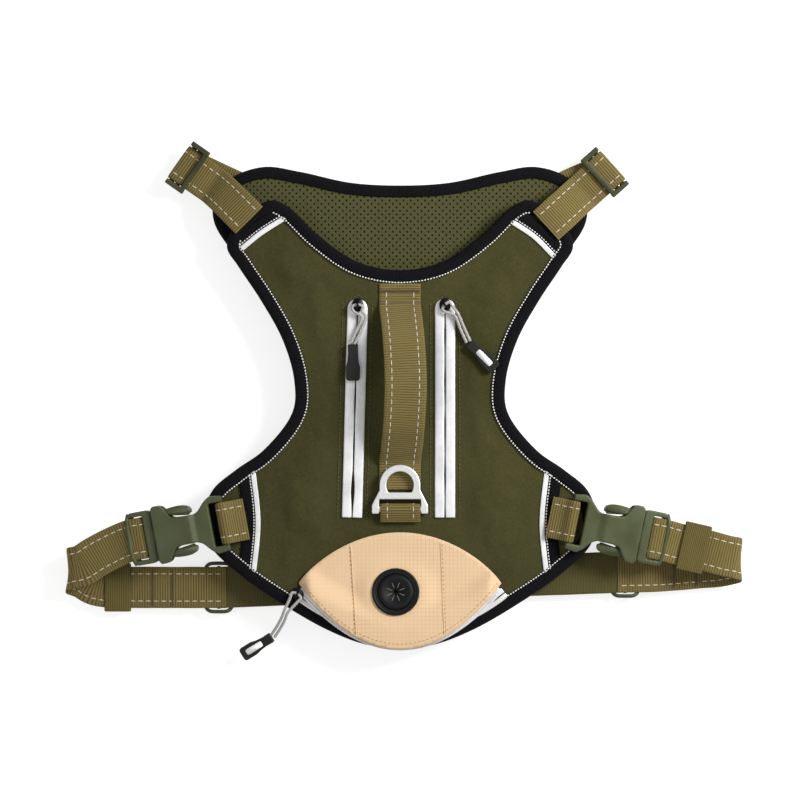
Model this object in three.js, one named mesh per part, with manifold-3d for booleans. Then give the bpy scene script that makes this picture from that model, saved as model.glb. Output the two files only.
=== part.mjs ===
// A dog's safety harness vest, laid flat: the chest panel below, the back panel on top of it,
// joined by two shoulder straps and by two belly straps with side-release buckles.
// Millimetres, +Z up, +Y towards the neck, +X across; z = 0 is the surface that it lies on.
import * as THREE from "three";
import { mergeVertices } from "three/addons/utils/BufferGeometryUtils.js";
import Module from "manifold-3d";

const wasm = await Module();
wasm.setup();

// ---- Driving dimensions ----
const GAP = 0.3; // between pieces that touch
const WEB_WIDTH = 25; // webbing of the handle and the belly straps
const SHOULDER_WIDTH = 23;
const WEB_THICK = 1.3;
const FABRIC = 0.8; // shell or lining of a panel
const CHEST_FOAM = 1.6;
const BACK_FOAM = 2;
const BINDING_WIDTH = 7.2; // how far the edge binding reaches over a face
const BINDING_THICK = 0.6;
const PIPING = 1; // width of the piping beside the binding
const BODY_SPACE = 5; // between the two panels
const REFLECTOR = 3; // width of a reflective strip
const TRIM = 7.4; // width of the trim band beside a reflective strip
const ZIP = { width: 12.2, low: -70.5, high: 60.5, start: 57, thick: 0.8 };
const SLIDER = { width: 7.6, length: 10, base: 1.7, eye: 2.2, roof: 0.8, eyeLength: 2.8 };
const CORD = 1.8; // diameter of a zip pull's cord
const PULL = { length: 22, thick: 3.2, top: 6.2, end: 8.4 };
const POCKET = { tip: 60.5, top: -79.7, bottom: -149.1, tipY: -110, rise: 6.2, thick: 1 };
const POCKET_ZIP = { y: -41.8, radius: 96.7, width: 6.6, halfAngle: 40.5, rest: 39.6 };
const PORT = { x: -2.6, y: -115.3, radius: 14.2, bore: 11.1, height: 4.6, membrane: 1.2, tilt: 8 };
const HANDLE = { gap: 0.8, free: 57, low: -38, end: -53.6, rise: 22, lean: 3.4, sewn: 0.66 };
// round is the radius of the ring's top, rim the width of its arch; the strap passes below gapTop.
const RING = {
  apex: -39.1, axisY: -65.4, thick: 3.6, half: 16.5, crossbar: 3.5, bar: 3.6,
  round: 11.9, rim: 3.4, foot: 2.4, gapTop: -59.2,
};
const BUCKLE = { bar: 3.2, height: 10.6, earHeight: 5.6, length: 42, half: 17.5, waist: 8.65 };
const PLUG = { reach: 16, barAt: 55.1, half: 16, height: 7, armHalf: 14.3, armHeight: 4 };
const CAVITY = { half: 16.2, height: 6.4, start: 17 };
const BUCKLE_DROP = 8.5; // degrees that a buckle's outer end hangs below its inner end
const GLIDE_BAR = 2.4; // thickness of a slide's bars
const CURL = 6.1; // radius that a belly strap's outer end curls round, to the webbing's middle
const KEEPER = { length: 16, thick: 0.8 };
const WEB_REST = 1.95; // height of the returning webbing's middle, above the floor
const GLIDE_REST = 3.8; // the same where a slide lifts it
const OUTLINE_STEPS = 72;
const CENTRE = { x: 2.1, y: 3.6 }; // from the sewing centre of the vest to its middle

// Each side's own places: the straps were not laid out alike.
const SIDES = {
  left: {
    sign: -1,
    buckle: { x: -105.7, y: -73.8, turn: 190.5 },
    front: [[-172, -88.6], [-183, -94.4], [-191, -99.4]],
    curl: [-199.1, -102.5],
    low: [-190, -106.2],
    back: [[-184, -112.6], [-173, -113], [-162, -113], [-138, -113], [-109.3, -113]],
    glide: { x: -108.5, y: -113, turn: 0 },
    keeper: { x: -170.2, y: -113, turn: 0, onReturn: true },
    zip: { top: -25.3, low: -28.8 },
    pull: { via: [[-21.8, 50], [-23.9, 43.5]], end: [-28.2, 34.4], turn: 0 },
    shoulder: {
      fold: [-131.3, 142.3],
      turn: 145,
      start: [[-84, 101.4], [-96, 113.4], [-107, 124.3]],
      back: [[-124.6, 138.6], [-113, 133], [-99, 126.6]],
    },
    shoulderStrip: [[-96.8, 89.3], [-83.4, 100.2], [-68.6, 109.6]],
  },
  right: {
    sign: 1,
    buckle: { x: 103, y: -72.8, turn: -11.5 },
    front: [[169, -87], [184, -90.4], [196, -93.6]],
    curl: [204.6, -96.3],
    low: [195, -98.8],
    back: [[189, -100.4], [180, -101.3], [170, -102.2], [155, -103.2], [135.7, -103.6]],
    glide: { x: 135.1, y: -103.5, turn: 0 },
    keeper: { x: 176.5, y: -88.6, turn: -13, onReturn: false },
    zip: { top: 27, low: 27 },
    pull: { via: [[33.5, 51.5], [37.5, 42.5]], end: [41, 34.8], turn: 45 },
    shoulder: {
      fold: [126.4, 139.9],
      turn: 42,
      start: [[80.7, 98.4], [92.9, 109.5], [104, 119.7]],
      back: [[120.6, 135.6], [110, 131], [96, 124.6]],
    },
    shoulderStrip: [[92.6, 85.9], [80.8, 97.8], [66.7, 107.3]],
  },
};

const BACK_HALF = [
  [0, 78], [25.5, 83], [48.5, 98.5], [67, 116], [76.5, 120], [86, 116.5], [98, 106.5],
  [104, 92], [97, 80], [83.7, 60], [70.5, 36], [63.6, 12], [64.5, -7], [81.9, -30],
  [98.7, -42], [112.5, -54], [117.5, -68], [115, -86], [96, -105], [74, -120.5],
  [43.8, -138], [20, -147], [0, -149],
];
const CHEST_HALF = [
  [0, 129.3], [30, 131], [60, 137.5], [82, 140.5], [101, 134], [112, 120], [112, 107],
  [100, 88], [72, 56], [50, 26], [46, -10], [54, -50], [58, -84], [48, -108], [24, -123],
  [0, -126],
];
const FLANK_STRIP = [[88.3, -41], [85.2, -73.5], [88.3, -108]];

// ---- Heights ----
// The underside of each layer of a panel, between the two flanges of its binding.
function stack(bottom, thicknesses) {
  const levels = [];
  let z = bottom + BINDING_THICK;
  for (const thick of thicknesses) {
    z += GAP;
    levels.push(z);
    z += thick;
  }
  return { bottom, levels, top: z + GAP + BINDING_THICK };
}
const CHEST = stack(WEB_THICK + GAP, [FABRIC, CHEST_FOAM, FABRIC]);
const BACK = stack(CHEST.top + BODY_SPACE, [FABRIC, BACK_FOAM, FABRIC]);
const FACE = BACK.top - BINDING_THICK; // underside of what lies on the back panel
const PULL_LOW = FACE + ZIP.thick + 0.5; // underside of a pull that lies on the back panel
const SLIDER_LOW = FACE + ZIP.thick + GAP;
const EYE = SLIDER_LOW + SLIDER.base + SLIDER.eye / 2; // height of the cord in a slider's eye
const BUCKLE_Z = BACK.top + 5.4; // height of the bar that a buckle hangs from
const RING_Z = FACE + WEB_THICK + GAP + RING.bar / 2; // height of the leash ring's axis

// ---- Materials ----
const paint = (color, roughness, metalness = 0) =>
  new THREE.MeshStandardMaterial({ color, roughness, metalness });
const LOOKS = {
  fabric: () => paint(0x41422a, 0.9),
  lining: () => paint(0x3f4027, 0.95),
  foam: () => paint(0x2c2c2a, 1),
  binding: () => paint(0x16171a, 0.85),
  reflective: () => paint(0xd0d1d4, 0.35),
  webbing: () => paint(0x6b5e38, 0.85),
  plastic: () => paint(0x4c5036, 0.5),
  slider: () => paint(0x17181a, 0.4, 0.5),
  cord: () => paint(0xb9bcbd, 0.8),
  rubber: () => paint(0x35362f, 0.6),
  pocket: () => paint(0xe2c29d, 0.85),
  metal: () => paint(0xd9dadb, 0.3, 0.9),
};

const vest = new THREE.Group();
vest.position.set(-CENTRE.x, -CENTRE.y, 0);

function add(name, geometry, look, parent = vest) {
  const mesh = new THREE.Mesh(geometry, LOOKS[look]());
  mesh.name = name;
  parent.add(mesh);
  return mesh;
}

// ---- Solids ----
function solid(geometry) {
  const bare = new THREE.BufferGeometry();
  bare.setAttribute("position", geometry.getAttribute("position").clone());
  if (geometry.index) bare.setIndex(geometry.index.clone());
  const merged = mergeVertices(bare, 1e-4);
  const vertProperties = merged.attributes.position.array;
  const triVerts = new Uint32Array(merged.index.array);
  return new wasm.Manifold(new wasm.Mesh({ numProp: 3, vertProperties, triVerts }));
}

function surface(made) {
  const mesh = made.getMesh();
  const geometry = new THREE.BufferGeometry();
  geometry.setAttribute("position", new THREE.BufferAttribute(mesh.vertProperties, 3));
  geometry.setIndex(new THREE.BufferAttribute(mesh.triVerts, 1));
  return geometry;
}

const flat = (points) => points.map(([x, y]) => new THREE.Vector2(x, y));

// An upright prism of an outline, from one height up to another.
function prism(outline, low, high) {
  const shape = new THREE.Shape(outline);
  const made = new THREE.ExtrudeGeometry(shape, { depth: high - low, bevelEnabled: false });
  return made.translate(0, 0, low);
}

function box(x0, x1, y0, y1, z0, z1) {
  const made = new THREE.BoxGeometry(x1 - x0, y1 - y0, z1 - z0);
  return made.translate((x0 + x1) / 2, (y0 + y1) / 2, (z0 + z1) / 2);
}

// A closed smooth outline through half of it and that half's mirror image.
function mirrored(half) {
  const right = half.map(([x, y]) => new THREE.Vector3(x, y, 0));
  const left = half.slice(1, -1).reverse().map(([x, y]) => new THREE.Vector3(-x, y, 0));
  const curve = new THREE.CatmullRomCurve3([...right, ...left], true, "centripetal");
  return curve.getPoints(OUTLINE_STEPS).slice(0, -1).map((p) => new THREE.Vector2(p.x, p.y));
}

function distance(p, outline) {
  let least = Infinity;
  outline.forEach((a, i) => {
    const along = outline[(i + 1) % outline.length].clone().sub(a);
    const t = THREE.MathUtils.clamp(p.clone().sub(a).dot(along) / along.lengthSq(), 0, 1);
    least = Math.min(least, p.distanceTo(a.clone().addScaledVector(along, t)));
  });
  return least;
}

// The outline moved inwards, without the points that a tight turn would fold over.
function inset(outline, by) {
  const turn = Math.sign(THREE.ShapeUtils.area(outline));
  const moved = outline.map((p, i) => {
    const next = outline[(i + 1) % outline.length];
    const along = next.clone().sub(outline.at(i - 1)).normalize();
    return p.clone().add(new THREE.Vector2(-along.y, along.x).multiplyScalar(by * turn));
  });
  return moved.filter((p) => distance(p, outline) > Math.abs(by) * 0.97);
}

// The outline of a flat band beside a smooth line, from one distance to its left to another.
function band(points, from, to, steps = 14) {
  const curve = new THREE.SplineCurve(flat(points));
  const edge = (offset) =>
    Array.from({ length: steps + 1 }, (_, i) => {
      const along = curve.getTangent(i / steps);
      const aside = new THREE.Vector2(-along.y, along.x).multiplyScalar(offset);
      return curve.getPoint(i / steps).add(aside);
    });
  return [...edge(from), ...edge(to).reverse()];
}

// Webbing along a smooth line; across gives the direction of its width at each point of the line.
function ribbon(path, across, width, steps, thick = WEB_THICK) {
  const line = new THREE.CatmullRomCurve3(path, false, "centripetal");
  const sideways = new THREE.CatmullRomCurve3(across, false, "centripetal");
  const corners = [];
  for (let i = 0; i <= steps; i++) {
    const at = line.getPoint(i / steps);
    const along = line.getTangent(i / steps);
    const side = sideways.getPoint(i / steps);
    side.addScaledVector(along, -side.dot(along)).normalize();
    const up = along.clone().cross(side).multiplyScalar(thick / 2);
    side.multiplyScalar(width / 2);
    corners.push(at.clone().add(side).add(up), at.clone().sub(side).add(up));
    corners.push(at.clone().sub(side).sub(up), at.clone().add(side).sub(up));
  }
  const faces = [0, 2, 1, 0, 3, 2];
  for (let i = 0; i < steps; i++) {
    for (let k = 0; k < 4; k++) {
      const [a, b] = [4 * i + k, 4 * i + ((k + 1) % 4)];
      faces.push(a, b, b + 4, a, b + 4, a + 4);
    }
  }
  const last = 4 * steps;
  faces.push(last, last + 1, last + 2, last, last + 2, last + 3);
  const geometry = new THREE.BufferGeometry().setFromPoints(corners);
  geometry.setIndex(faces);
  return geometry;
}

// A round cord along a smooth line.
function tube(path, diameter, steps) {
  const section = Array.from({ length: 8 }, (_, i) => {
    const angle = (i * Math.PI) / 4;
    return new THREE.Vector2(Math.cos(angle), Math.sin(angle)).multiplyScalar(diameter / 2);
  });
  const extrudePath = new THREE.CatmullRomCurve3(path, false, "centripetal");
  return new THREE.ExtrudeGeometry(new THREE.Shape(section), { steps, extrudePath });
}

const at = ([x, y], z) => new THREE.Vector3(x, y, z);
const radians = THREE.MathUtils.degToRad;
const EAST = new THREE.Vector3(1, 0, 0);
const UP = new THREE.Vector3(0, 0, 1);
const heading = (degrees) => EAST.clone().applyAxisAngle(UP, radians(degrees));

// ---- Panels ----
const backOutline = mirrored(BACK_HALF);
const chestOutline = mirrored(CHEST_HALF);
const faceArea = inset(backOutline, BINDING_WIDTH + PIPING + 2 * GAP);

function panel(outline, layout, names, thicknesses) {
  const inner = inset(outline, BINDING_THICK + GAP);
  names.forEach((name, i) => {
    const low = layout.levels[i];
    const look = name.endsWith("foam") ? "foam" : name.endsWith("lining") ? "lining" : "fabric";
    add(name, prism(inner, low, low + thicknesses[i]), look);
  });
}

// Tape folded round the edge of a panel: a channel open towards the middle.
function binding(name, outline, layout) {
  const tape = solid(prism(outline, layout.bottom, layout.top))
    .subtract(solid(prism(
      inset(outline, BINDING_THICK),
      layout.bottom + BINDING_THICK,
      layout.top - BINDING_THICK,
    )))
    .subtract(solid(prism(inset(outline, BINDING_WIDTH), layout.bottom - 1, layout.top + 1)));
  add(name, surface(tape), "binding");
}

function piping() {
  const outer = solid(prism(inset(backOutline, BINDING_WIDTH + GAP), FACE, FACE + 0.9));
  const hole = solid(prism(inset(backOutline, BINDING_WIDTH + GAP + PIPING), FACE - 1, FACE + 2));
  add("back_piping", surface(outer.subtract(hole)), "reflective");
}

// A flat strip or band on the back panel, kept inside the piping.
function onFace(name, outline, thick, look) {
  const cut = solid(prism(outline, FACE, FACE + thick));
  add(name, surface(cut.intersect(solid(prism(faceArea, FACE - 1, FACE + thick + 1)))), look);
}

function corners(side, { sign, shoulderStrip }) {
  const flank = FLANK_STRIP.map(([x, y]) => [sign * x, y]);
  // The trim band lies outside its strip: to the left of one line, to the right of the other.
  const strips = [["shoulder", shoulderStrip, -sign], ["flank", flank, sign]];
  for (const [place, line, way] of strips) {
    const edge = way * (REFLECTOR / 2);
    onFace(`${place}_reflector_${side}`, band(line, -edge, edge), 0.5, "reflective");
    const [from, to] = [edge + way * GAP, edge + way * (GAP + TRIM)];
    onFace(`${place}_trim_${side}`, band(line, from, to), FABRIC, "binding");
  }
}

// ---- Zips ----
// The arch over the eye lies along the way that the cord leaves.
function sliderBody(turn = 0) {
  const { width, length, base, eye, roof, eyeLength } = SLIDER;
  const plan = flat([
    [-width * 0.34, -length / 2], [width * 0.34, -length / 2], [width / 2, length * 0.1],
    [width * 0.36, length / 2], [-width * 0.36, length / 2], [-width / 2, length * 0.1],
  ]);
  const leg = eyeLength / 2 + 1;
  const arch = solid(box(-0.8, 0.8, -leg, leg, base - GAP, base + eye + roof));
  const hole = solid(box(-2, 2, -eyeLength / 2, eyeLength / 2, base, base + eye));
  const bail = surface(arch.subtract(hole)).rotateZ(radians(turn));
  return surface(solid(prism(plan, 0, base)).add(solid(bail)));
}

function pullBody() {
  const { length, thick, top, end } = PULL;
  const shape = new THREE.Shape();
  shape.moveTo(-top / 2 + 1, 0);
  shape.lineTo(top / 2 - 1, 0);
  shape.quadraticCurveTo(top / 2, 0, top / 2, -1);
  shape.quadraticCurveTo(top / 2 - 0.6, -length * 0.4, end / 2, -length * 0.62);
  shape.lineTo(end / 2, -length + 2);
  shape.quadraticCurveTo(end / 2, -length, end / 2 - 2, -length);
  shape.lineTo(-end / 2 + 2, -length);
  shape.quadraticCurveTo(-end / 2, -length, -end / 2, -length + 2);
  shape.lineTo(-end / 2, -length * 0.62);
  shape.quadraticCurveTo(-top / 2 + 0.6, -length * 0.4, -top / 2, -1);
  shape.quadraticCurveTo(-top / 2, 0, -top / 2 + 1, 0);
  const depth = { depth: thick, bevelEnabled: false, curveSegments: 3 };
  return new THREE.ExtrudeGeometry(shape, depth).translate(0, 0, -thick / 2);
}

// A doubled cord from a pull, through a slider's eye and back to the pull.
function loop(eye, via, end, way) {
  const strand = (hand) => {
    const line = [end, ...via];
    return line.map((p, i) => {
      const next = line[i + 1] ?? eye;
      const along = next.clone().sub(line[Math.max(i - 1, 0)]).setZ(0).normalize();
      const aside = new THREE.Vector3(-along.y, along.x, 0);
      return p.clone().addScaledVector(aside, hand * 1.2);
    });
  };
  const back = way.clone().negate();
  const aside = new THREE.Vector3(-way.y, way.x, 0);
  const turn = (hand) => [
    eye.clone().addScaledVector(aside, hand * 2.6).addScaledVector(back, 3.6),
    eye.clone().addScaledVector(aside, hand * 3.1).addScaledVector(back, 0.9),
    eye.clone().addScaledVector(aside, hand * 1.4),
  ];
  const [left, right] = [turn(1), turn(-1)];
  return [...strand(1), ...left, ...right.reverse(), ...strand(-1).reverse()];
}

function zip(side, { zip: place, pull }) {
  const { width, low, high, start, thick } = ZIP;
  const tape = new THREE.Shape();
  tape.moveTo(-width / 2, 0);
  tape.lineTo(width / 2, 0);
  tape.lineTo(width / 2, high - low - 4);
  tape.quadraticCurveTo(width / 2, high - low, width / 2 - 4, high - low);
  tape.lineTo(-width / 2 + 4, high - low);
  tape.quadraticCurveTo(-width / 2, high - low, -width / 2, high - low - 4);
  const depth = { depth: thick, bevelEnabled: false, curveSegments: 4 };
  const track = new THREE.Group();
  track.position.set(place.low, low, 0);
  track.rotation.z = Math.atan2(place.low - place.top, high - low);
  vest.add(track);
  const made = new THREE.ExtrudeGeometry(tape, depth).translate(0, 0, FACE);
  add(`zip_tape_${side}`, made, "reflective", track);
  const body = add(`zip_slider_${side}`, sliderBody(pull.turn), "slider", track);
  body.position.set(0, start - low, SLIDER_LOW);
  track.updateMatrixWorld(true);
  const eye = body.getWorldPosition(new THREE.Vector3()).sub(vest.position).setZ(EYE);
  const middle = PULL_LOW + PULL.thick / 2;
  const via = [at(pull.via[1], middle + 0.2), at(pull.via[0], EYE)];
  const end = at(pull.end, middle);
  const way = heading(90 + pull.turn);
  add(`zip_cord_${side}`, tube(loop(eye, via, end, way), CORD, 32), "cord");
  const tab = add(`zip_pull_${side}`, pullBody(), "rubber");
  tab.position.copy(end).addScaledVector(way, -3 * GAP);
  tab.rotation.z = radians(pull.turn);
}

// ---- Pocket ----
const zipDistance = (x, y) => Math.hypot(x, y - POCKET_ZIP.y);

// How far the pocket's front stands off the panel: flat at the top, a raised lip over the zip.
function lift(x, y) {
  const radial = THREE.MathUtils.smoothstep(zipDistance(x, y), 77, 91.5);
  return POCKET.rise * radial * (1 - THREE.MathUtils.smoothstep(Math.abs(x), 53, POCKET.tip));
}

function pocketFlap() {
  const { tip, top, bottom, tipY, thick } = POCKET;
  const arc = (x, y) => (s) => tipY + (y - tipY) * (1 - (s / x) ** 2) ** 0.86;
  const [upper, lower] = [arc(tip, top), arc(tip, bottom)];
  const [columns, rows] = [24, 7];
  const points = [];
  for (const height of [0, thick]) {
    for (let i = 0; i <= columns; i++) {
      const x = -tip + 0.4 + ((2 * tip - 0.8) * i) / columns;
      for (let j = 0; j <= rows; j++) {
        const y = lower(x) + ((upper(x) - lower(x)) * j) / rows;
        points.push(new THREE.Vector3(x, y, FACE + lift(x, y) + height));
      }
    }
  }
  const layer = (columns + 1) * (rows + 1);
  const id = (i, j, k) => k * layer + i * (rows + 1) + j;
  const faces = [];
  const quad = (a, b, c, d) => faces.push(a, b, c, a, c, d);
  for (let i = 0; i < columns; i++) {
    for (let j = 0; j < rows; j++) {
      quad(id(i, j, 1), id(i + 1, j, 1), id(i + 1, j + 1, 1), id(i, j + 1, 1));
      quad(id(i, j, 0), id(i, j + 1, 0), id(i + 1, j + 1, 0), id(i + 1, j, 0));
    }
    quad(id(i, 0, 0), id(i + 1, 0, 0), id(i + 1, 0, 1), id(i, 0, 1));
    quad(id(i + 1, rows, 0), id(i, rows, 0), id(i, rows, 1), id(i + 1, rows, 1));
  }
  for (let j = 0; j < rows; j++) {
    quad(id(0, j + 1, 0), id(0, j, 0), id(0, j, 1), id(0, j + 1, 1));
    quad(id(columns, j, 0), id(columns, j + 1, 0), id(columns, j + 1, 1), id(columns, j, 1));
  }
  const sheet = new THREE.BufferGeometry().setFromPoints(points);
  sheet.setIndex(faces);
  const opening = new THREE.CylinderGeometry(PORT.radius + 3 * GAP, PORT.radius + 3 * GAP, 40, 28);
  opening.rotateX(Math.PI / 2).translate(PORT.x, PORT.y, FACE);
  add("pocket_flap", surface(solid(sheet).subtract(solid(opening))), "pocket");
}

function port() {
  const { x, y, radius, bore, height, membrane } = PORT;
  const wall = [[bore, 0], [radius, 0], [radius, height - 1], [radius - 1, height], [bore, height]];
  const profile = flat([...wall, wall[0]]);
  const ring = new THREE.LatheGeometry(profile, 32).rotateX(Math.PI / 2);
  const seat = new THREE.Group();
  seat.position.set(x, y, FACE + GAP + radius * Math.sin(radians(PORT.tilt)));
  seat.rotation.x = -radians(PORT.tilt);
  vest.add(seat);
  add("port_grommet", ring, "rubber", seat);
  const disc = new THREE.CylinderGeometry(bore - GAP, bore - GAP, membrane, 32).rotateX(Math.PI / 2);
  let rubber = solid(disc.translate(0, 0, height - 2));
  for (let i = 0; i < 8; i++) {
    const slit = box(1.6, 9.8, -0.3, 0.3, 0, height).rotateZ((i * Math.PI) / 4);
    rubber = rubber.subtract(solid(slit));
  }
  add("port_membrane", surface(rubber), "rubber", seat);
}

function pocketZip() {
  const { y, radius, width, halfAngle } = POCKET_ZIP;
  const line = [];
  for (let angle = -halfAngle; angle <= halfAngle + 0.1; angle += halfAngle / 6) {
    line.push([radius * Math.sin(radians(angle)), y - radius * Math.cos(radians(angle))]);
  }
  onFace("pocket_zip_tape", band(line, -width / 2, width / 2, 30), ZIP.thick, "reflective");
  const rest = radians(POCKET_ZIP.rest);
  const place = new THREE.Vector3(-radius * Math.sin(rest), y - radius * Math.cos(rest), SLIDER_LOW);
  const leave = -30; // the way the cord leaves, as the slider's arch turns to it
  const turned = 90 - POCKET_ZIP.rest;
  const body = add("pocket_zip_slider", sliderBody(leave - turned), "slider");
  body.position.copy(place);
  body.rotation.z = radians(turned);
  const eye = place.clone().setZ(EYE);
  const end = new THREE.Vector3(-76.4, -142, 11.4);
  const via = [[-73.4, -137.4, 13.8], [-70.2, -131.6, 17.6], [-68.4, -127, 20.2]];
  const line3 = via.map((p) => new THREE.Vector3(...p));
  const way = heading(90 + leave);
  add("pocket_zip_cord", tube(loop(eye, line3, end, way), CORD, 36), "cord");
  const tab = add("pocket_zip_pull", pullBody(), "rubber");
  const fall = radians(17);
  tab.rotation.set(fall, 0, radians(-58), "ZYX");
  tab.position.copy(end).add(new THREE.Vector3(-0.7, -0.6, -0.3));
}

// A round bar across, 1 mm longer than twice half so that it reaches into both rails.
const roundBar = (bar, half, sides = 12) =>
  new THREE.CylinderGeometry(bar / 2, bar / 2, 2 * half + 1, sides);

// ---- Handle and leash ring ----
function grabHandle() {
  const { gap, free, low, end, rise, lean, sewn } = HANDLE;
  const top = BACK_HALF[0][1] - BINDING_WIDTH - PIPING - gap;
  const z = FACE + WEB_THICK / 2;
  const span = free - low;
  const path = [new THREE.Vector3(0, top, z), new THREE.Vector3(0, free + 4, z)];
  // The arch: how far along the free part, and how much of the rise it has there.
  const arch = [[0.1, 0.36], [0.25, 0.78], [0.5, 1], [0.75, 0.78], [0.9, 0.36]];
  const heights = arch.map(([share, part]) => [share, rise * part]);
  for (const [share, height] of [[0, sewn], ...heights, [1, sewn]]) {
    const x = lean * Math.sin(Math.PI * share);
    path.push(new THREE.Vector3(x, free - span * share, z + height));
  }
  path.push(new THREE.Vector3(0, low - 5, z), new THREE.Vector3(0, end, z));
  const across = path.map(() => new THREE.Vector3(1, 0, 0));
  add("grab_handle", ribbon(path, across, WEB_WIDTH, 34), "webbing");
}

function leashRing() {
  const { apex, axisY, thick, half, crossbar, bar, round, rim, foot, gapTop } = RING;
  const centre = apex - round;
  const plate = new THREE.Shape();
  plate.moveTo(-half, axisY - foot);
  plate.lineTo(half, axisY - foot);
  plate.lineTo(half, axisY + foot);
  plate.lineTo(round, centre - 3);
  plate.absarc(0, centre, round, 0, Math.PI, false);
  plate.lineTo(-round, centre - 3);
  plate.lineTo(-half, axisY + foot);
  const eye = new THREE.Path();
  const start = Math.asin((gapTop + crossbar - centre) / (round - rim));
  eye.absarc(0, centre, round - rim, start, Math.PI - start, false);
  plate.holes.push(eye);
  const depth = { depth: thick, bevelEnabled: false, curveSegments: 14 };
  const body = solid(new THREE.ExtrudeGeometry(plate, depth).translate(0, 0, RING_Z - thick / 2));
  const gapHalf = WEB_WIDTH / 2 + GAP;
  const gap = box(-gapHalf, gapHalf, axisY - foot - 1, gapTop, RING_Z - thick, RING_Z + thick);
  const rod = roundBar(bar, gapHalf + 0.5, 16).rotateZ(Math.PI / 2).translate(0, axisY, RING_Z);
  add("leash_ring", surface(body.subtract(solid(gap)).add(solid(rod))), "metal");
}

function ringLoop() {
  const { axisY, bar } = RING;
  const bend = bar / 2 + GAP + WEB_THICK / 2;
  const z = RING_Z - bend;
  const path = [[axisY - 7.6, z], [axisY - 3, z], [axisY, z]];
  for (const angle of [-60, -30, 0, 30, 60]) {
    const turn = radians(angle);
    path.push([axisY + bend * Math.cos(turn), RING_Z + bend * Math.sin(turn)]);
  }
  path.push([axisY, RING_Z + bend], [axisY - 3.2, RING_Z + bend - 1.1], [axisY - 7.6, z + 1.9]);
  const line = path.map(([y, height]) => new THREE.Vector3(0.2, y, height));
  const across = line.map(() => new THREE.Vector3(1, 0, 0));
  add("ring_loop", ribbon(line, across, WEB_WIDTH - 0.8, 30), "webbing");
}

// ---- Shoulder straps ----
// A slide of three bars: x along the webbing; each bar lies above (+1) or below (-1) it.
function glide(name, place, z, bars, width, rails) {
  const seat = WEB_THICK / 2 + GAP;
  const half = width / 2 + 0.6;
  const high = seat + GLIDE_BAR;
  const low = Math.min(...bars.map(([, way]) => way)) < 0 ? -high : 0;
  const rail = 3;
  let frame = solid(box(rails[0], rails[1], half, half + rail, low, high));
  frame = frame.add(solid(box(rails[0], rails[1], -half - rail, -half, low, high)));
  for (const [x, way] of bars) {
    const [z0, z1] = way > 0 ? [seat, high] : [-high, -seat];
    frame = frame.add(solid(box(x - 1.5, x + 1.5, -half - 1, half + 1, z0, z1)));
  }
  const made = add(name, surface(frame), "plastic");
  made.position.set(place.x, place.y, z);
  made.rotation.z = radians(place.turn);
}

function shoulder(side, { shoulder: place }) {
  const bend = GLIDE_BAR / 2 + GAP + WEB_THICK / 2;
  const height = 8.2; // of the webbing's middle where it passes the slide
  const out = heading(place.turn);
  const fold = at(place.fold, height - bend);
  const level = [-22, -16, -10].map((x) => fold.clone().addScaledVector(out, x).setZ(height));
  const over = BACK.top + GAP + WEB_THICK / 2 + 0.5; // on the corner of the back panel
  const start = place.start.map((p, i) => at(p, [over, over, 13.8][i]));
  const path = [...start, ...level];
  for (const angle of [90, 50, 0, -50, -90]) {
    const turn = radians(angle);
    const p = fold.clone().addScaledVector(out, bend * Math.cos(turn));
    path.push(p.setZ(fold.z + bend * Math.sin(turn)));
  }
  const folded = path.length;
  const low = fold.z - bend;
  path.push(...place.back.map((p, i) => at(p, [low, low - 0.4, low - 0.4][i])));
  const across = path.map((p, i) => {
    const way = path[Math.min(i + 1, path.length - 1)].clone().sub(path[Math.max(i - 1, 0)]);
    const turned = i < start.length || i >= folded ? way.setZ(0).normalize() : out;
    const side = new THREE.Vector3(-turned.y, turned.x, 0);
    return i >= folded ? side.negate() : side;
  });
  const strap = solid(ribbon(path, across, SHOULDER_WIDTH, 42))
    .subtract(solid(prism(inset(chestOutline, -GAP), -1, CHEST.top + GAP)));
  add(`shoulder_strap_${side}`, surface(strap), "webbing");
  const reach = 4.1; // from a slide's middle bar to its outer bars
  const middle = fold.clone().addScaledVector(out, -reach - 0.9);
  const bars = [[-reach, 1], [0, -1], [reach, -1]];
  const seat = { x: middle.x, y: middle.y, turn: place.turn };
  glide(`shoulder_slide_${side}`, seat, height, bars, SHOULDER_WIDTH, [-reach - 1.5, reach + 3]);
}

// ---- Buckles; x runs outwards from the bar that the socket hangs from ----
function socketBody() {
  const { bar, height, earHeight, length, half, waist } = BUCKLE;
  const edge = new THREE.SplineCurve(flat([
    [5.5, half], [9.5, half - 2.6], [14.5, waist + 0.9], [19, waist], [26, waist],
    [30.5, waist + 1.2], [34.5, half - 1.4], [37.5, half],
  ]));
  const rim = [new THREE.Vector2(-bar / 2, half - 1), ...edge.getPoints(18)];
  rim.push(new THREE.Vector2(length - 1.4, half), new THREE.Vector2(length, half - 2));
  const lower = rim.map((p) => new THREE.Vector2(p.x, -p.y)).reverse();
  const plan = solid(prism([...lower, ...rim], -height, height));
  const [h, e] = [height / 2, earHeight / 2];
  const profile = flat([
    [-5, -e], [16, -e], [20, -h], [length + 1, -h], [length + 1, h], [20, h], [16, e], [-5, e],
  ]);
  const sideView = prism(profile, -half - 1, half + 1).rotateX(Math.PI / 2);
  const slotHalf = WEB_WIDTH / 2 + 0.6;
  const slot = box(-5, 7.2, -slotHalf, slotHalf, -height, height);
  const { half: wide, height: tall, start } = CAVITY;
  const cavity = box(start, length + 1, -wide, wide, -tall / 2, tall / 2);
  const body = plan.intersect(solid(sideView)).subtract(solid(slot)).subtract(solid(cavity));
  return surface(body.add(solid(roundBar(bar, slotHalf))));
}


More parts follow.
